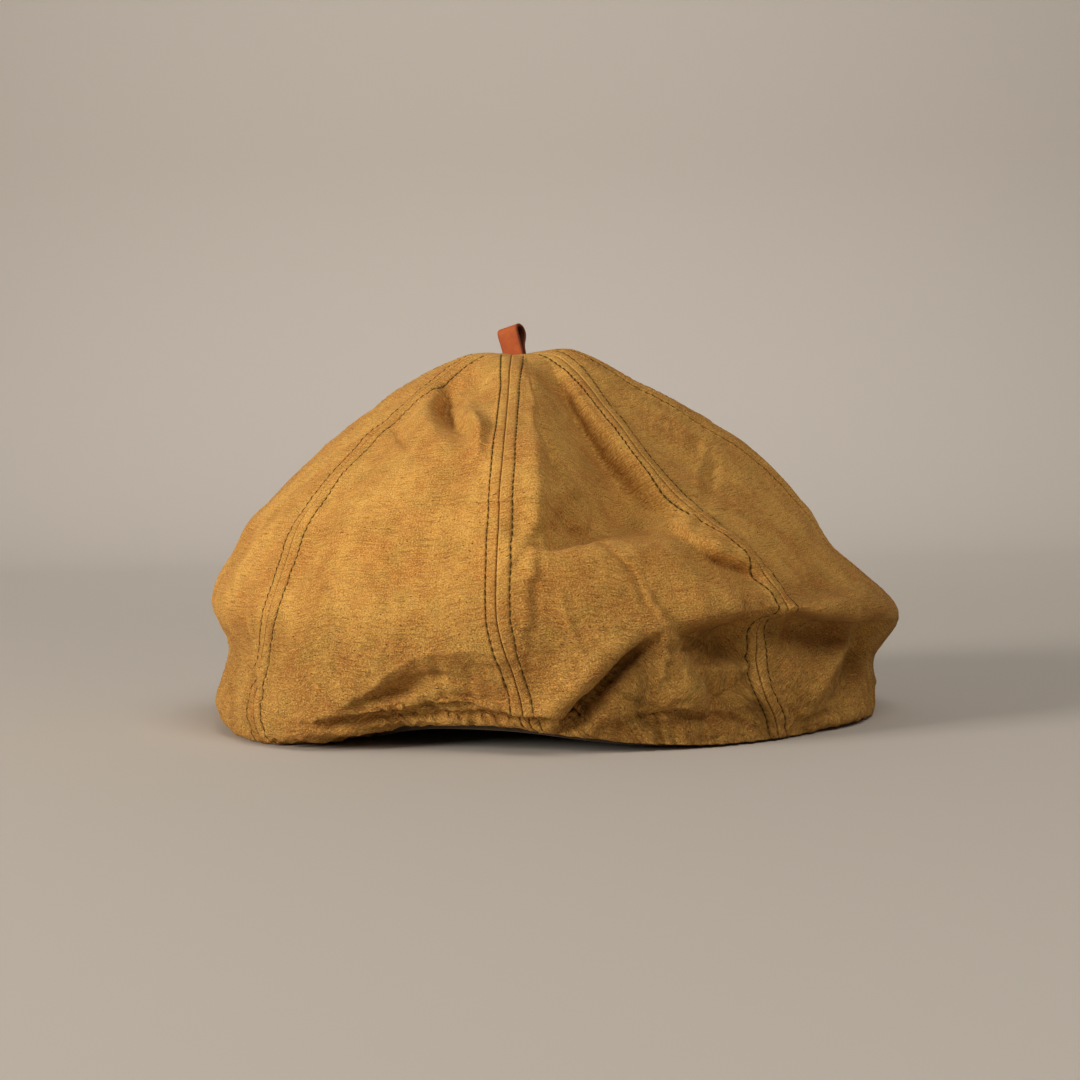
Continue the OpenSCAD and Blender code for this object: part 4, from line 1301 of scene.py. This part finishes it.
def strap_mesh(name, line, width, thick, mat, place, seed, closed=False, waist=0.0):
    """A strap swept along a line of (y, z) with its broad side across x; the cut edges are
    rounded and rubbed. place(x, y, z) takes local mm to the row frame."""
    line = np.array(line, float)
    t = np.gradient(line, axis=0)
    t /= np.linalg.norm(t, axis=1, keepdims=True)
    nrm = np.stack([t[:, 1], -t[:, 0]], -1)          # away from the middle of the loop
    arc = np.concatenate([[0], np.cumsum(np.linalg.norm(np.diff(line, axis=0), axis=1))])
    # cross-section: across x, through y; 28 points round
    sec = []
    h, w = thick / 2, width / 2
    for x in np.linspace(-w + 0.45, w - 0.45, 12):
        sec.append((x, h + 0.03 * math.cos(x * 0.6), 0.0))
    for k in range(1, 6):
        b = math.pi / 2 - math.pi * k / 6
        sec.append((w - 0.45 + 0.45 * math.cos(b), h * math.sin(b), -1.0))
    for x in np.linspace(w - 0.45, -w + 0.45, 12):
        sec.append((x, -h, 0.0))
    for k in range(1, 6):
        b = -math.pi / 2 - math.pi * k / 6
        sec.append((-w + 0.45 + 0.45 * math.cos(b), h * math.sin(b), -1.0))
    sec = np.array(sec)
    m, n = len(sec), len(line)
    V = np.zeros((n, m, 3)); C = np.zeros((n, m, 3)); Tn = np.zeros((n, m))
    for i in range(n):
        x = sec[:, 0] * (1 - waist * math.exp(-((arc[i] - arc[-1] / 2) / (0.30 * arc[-1])) ** 2))
        y = line[i, 0] + nrm[i, 0] * sec[:, 1]
        z = line[i, 1] + nrm[i, 1] * sec[:, 1]
        V[i] = place(x, y, z)
        C[i] = np.stack([sec[:, 0], np.full(m, arc[i]), sec[:, 1] + seed], -1)
        Tn[i] = sec[:, 2]
    jit = noise3(V.reshape(-1, 3), 3.1, seed) * 0.05
    V = V + jit.reshape(n, m)[..., None] * np.array([0.6, 0.6, 0.4])
    # edges half dark where the section turns onto them
    nb = (np.roll(Tn, 1, 1) + np.roll(Tn, -1, 1)) / 2
    Tn = np.minimum(Tn, nb * 0.6)
    i, j = np.meshgrid(np.arange(n - 1), np.arange(m), indexing="ij")
    f = np.stack([i * m + j, i * m + (j + 1) % m, (i + 1) * m + (j + 1) % m, (i + 1) * m + j], -1).reshape(-1, 4)
    # ends: a fan from a middle point
    c0, c1 = V[0].mean(0), V[-1].mean(0)
    verts = np.concatenate([V.reshape(-1, 3), [c0, c1]])
    k0, k1 = n * m, n * m + 1
    jj = np.arange(m)
    e0 = np.stack([np.full(m, k0), (jj + 1) % m, jj], -1)
    e1 = np.stack([np.full(m, k1), (n - 1) * m + jj, (n - 1) * m + (jj + 1) % m], -1)
    cc = np.concatenate([C.reshape(-1, 3), [C[0].mean(0), C[-1].mean(0)]])
    tt = np.concatenate([Tn.ravel(), [-0.8, -0.8]])
    return make_mesh(name, verts, [f, e0, e1], mat, cc, True, tt)


def loop_line():
    # a flat front leaf, a tight bend and a back leaf that bows out
    pts = [(-0.70, -4.4), (-0.78, -2.2), (-0.95, -0.4), (-1.25, 1.4), (-1.55, 3.2), (-1.80, 4.9), (-1.72, 6.3), (-0.95, 7.25),
           (0.35, 7.45), (1.60, 6.85), (2.42, 5.6), (2.62, 4.1), (2.25, 2.7), (1.60, 1.4), (1.00, 0.2),
           (0.72, -1.2), (0.66, -2.6), (0.64, -4.4)]
    p = np.array(pts, float)
    n = len(p) - 1
    s = np.linspace(0, n, 120)
    i = np.clip(np.floor(s).astype(int), 0, n - 1)
    t = (s - i)[:, None]
    return crv(p[np.maximum(i - 1, 0)], p[i], p[i + 1], p[np.minimum(i + 2, n)], t)


def loop_place(x, y, z):
    return HINGE[None] + np.outer(x, LX) + np.outer(y, LY) + np.outer(z, LZ)


loop = strap_mesh("leather_loop", loop_line(), 9.2, 1.2, LEATHER, loop_place, 5, waist=-0.04)
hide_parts("top_loop")
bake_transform(loop)

# its tails, spread flat under the cloth, and the bars of thread that hold them
ca, sa = math.cos(math.radians(-38)), math.sin(math.radians(-38))


def flat_place(z0):
    def place(x, y, z):
        return np.stack([TIP[0] + ca * x - sa * y, TIP[1] + sa * x + ca * y, z0 + z], -1)
    return place


tail_z = 134 - 0.9 - 0.35 - 1.2 - 1.2
vs, fs, cs, ts = [], [], [], []
base = 0
for sgn in (-1, 1):
    yy = np.linspace(0.35, 9.1, 24)
    line = np.stack([sgn * yy, 0.6 + 0.14 * np.sin(yy * 0.7)], -1)
    o = strap_mesh("tail_tmp", line, 9.9, 1.1, LEATHER, flat_place(tail_z), 8)
    me = o.data
    co = np.zeros(len(me.vertices) * 3, np.float32); me.vertices.foreach_get("co", co)
    at = np.zeros(len(me.vertices) * 3, np.float32); me.attributes["cloth"].data.foreach_get("vector", at)
    tn = np.zeros(len(me.vertices), np.float32); me.attributes["tone"].data.foreach_get("value", tn)
    vs.append(co.reshape(-1, 3) / MM); cs.append(at.reshape(-1, 3)); ts.append(tn)
    for p in me.polygons:
        fs.append([v + base for v in p.vertices][::(1 if sgn > 0 else 1)])
    base += len(me.vertices)
    bpy.data.objects.remove(o); bpy.data.meshes.remove(me)
quads = np.array([f for f in fs if len(f) == 4]); tris = np.array([f for f in fs if len(f) == 3])
tails = make_mesh("leather_tails", np.concatenate(vs), [quads, tris], LEATHER, np.concatenate(cs), True, np.concatenate(ts))
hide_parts("loop_tails")
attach(tails, "hat")

runs = []
place = flat_place(tail_z - 0.30)
for sgn in (-1, 1):
    for q in np.linspace(-3.3, 3.3, 13):
        pts = place(np.array([q, q + 0.12, q + 0.24]), np.array([sgn * 4.0, sgn * 4.5, sgn * 5.0]), np.array([0.0, 0.0, 0.0]))
        P = np.stack([np.interp(np.linspace(0, 2, 9), [0, 1, 2], pts[:, i]) for i in range(3)], -1)
        arc = np.concatenate([[0], np.cumsum(np.linalg.norm(np.diff(P, axis=0), axis=1))])
        runs.append(stitch_run(P, np.tile([0, 0, -1.0], (9, 1)), arc, 0.0, arc[-1] + 0.05, 0.20, 400 + int(q * 10) + sgn, pitch=arc[-1], fill=0.98, rise=0.05))
tack = join_runs("bar_tacks", runs, THREAD)
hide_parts("loop_tack")
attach(tack, "hat")

# ------------------------------------------------------------------ what the sheets were cut to
# a gore's cut is taken from the plain crown, before any fold is pressed in and before the cloth
# relaxes, and a hem turned in by HEM_TURN mm, which is about what the finished hems come to
HEM_TURN = 14.0


def cut_area(k):
    """Flat area of gore k in m2."""
    U, S = np.meshgrid(np.linspace(k, k + 1, 61), np.linspace(0, LAST, 500))
    P = skin(U, S)
    a, b, c, d = P[:-1, :-1], P[1:, :-1], P[1:, 1:], P[:-1, 1:]
    q = 0.5 * (np.linalg.norm(np.cross(b - a, c - a), axis=-1) + np.linalg.norm(np.cross(c - a, d - a), axis=-1))
    hem = np.linalg.norm(np.diff(P[-1], axis=0), axis=-1).sum()
    return (q.sum() + HEM_TURN * hem) * 1e-6


for k, (ob, area) in enumerate(panels):
    round(float(cut_area(k)), 5)

# ------------------------------------------------------------------ stage, light and camera
scene = bpy.context.scene


def stage_material():
    m, nt, bs = new_material("stage_m")
    bs.inputs["Base Color"].default_value = lin(198, 191, 182)
    bs.inputs["Roughness"].default_value = 0.85
    bs.inputs["Specular IOR Level"].default_value = 0.2
    return m


def sweep_stage():
    """A pale floor that turns up into a wall behind."""
    prof = [(-4.0, 0.0), (1.3, 0.0)]
    for k in range(1, 17):
        b = k / 16 * math.pi / 2
        prof.append((1.3 + 0.5 * math.sin(b), 0.5 - 0.5 * math.cos(b)))
    prof.append((1.8, 3.2))
    V, F = [], []
    for x in (-4.0, 4.0):
        for y, z in prof:
            V.append((x * 1000, y * 1000, z * 1000 - 0.02))
    n = len(prof)
    for i in range(n - 1):
        F.append((i, n + i, n + i + 1, i + 1))
    ob = make_mesh("stage_floor", V, [np.array(F)], stage_material())
    return ob


sweep_stage()


def area_light(name, loc, target, size, power, color, size_y=None):
    li = bpy.data.lights.new(name, "AREA")
    li.energy = power
    li.color = color
    li.size = size
    if size_y:
        li.shape = "RECTANGLE"; li.size_y = size_y
    ob = bpy.data.objects.new(name, li)
    ob.location = loc
    ob.rotation_mode = "QUATERNION"
    ob.rotation_quaternion = (Vector(target) - Vector(loc)).to_track_quat("-Z", "Y")
    scene.collection.objects.link(ob)
    return ob


area_light("key", (-1.42, -0.84, 0.56), (0, 0, 0.06), 0.60, 24, (1.0, 0.94, 0.86))
area_light("fill", (0.50, -1.05, 1.70), (0, 0, 0.06), 1.2, 15, (1.0, 0.95, 0.89))
back = area_light("backdrop", (0.0, 0.55, 2.3), (0, 1.8, 0.35), 1.6, 6.5, (1.0, 0.97, 0.95))
back.data.spread = math.radians(80)
world = bpy.data.worlds.new("world")
scene.world = world
world.use_nodes = True
bg = world.node_tree.nodes["Background"]
bg.inputs[0].default_value = (1.0, 0.95, 0.89, 1)
bg.inputs[1].default_value = 0.14
scene.view_settings.view_transform = "Standard"

cam_data = bpy.data.cameras.new("camera")
cam_data.sensor_width = 36.0
cam_data.lens = 66.67
cam_data.clip_start = 0.02
cam_data.clip_end = 20
cam = bpy.data.objects.new("camera", cam_data)
scene.collection.objects.link(cam)
cp, sp = math.cos(math.radians(1.77)), math.sin(math.radians(1.77))
cr, sr = math.cos(math.radians(-1.09)), math.sin(math.radians(-1.09))
fw = Vector((0, cp, -sp)); up = Vector((0, sp, cp)); rt = Vector((1, 0, 0))
right = rt * cr + up * sr
up2 = -rt * sr + up * cr
C_ = Vector((-0.0045, -0.745, 0.088))
cam.matrix_world = Matrix(((right.x, up2.x, -fw.x, C_.x), (right.y, up2.y, -fw.y, C_.y),
                           (right.z, up2.z, -fw.z, C_.z), (0, 0, 0, 1)))
scene.camera = cam
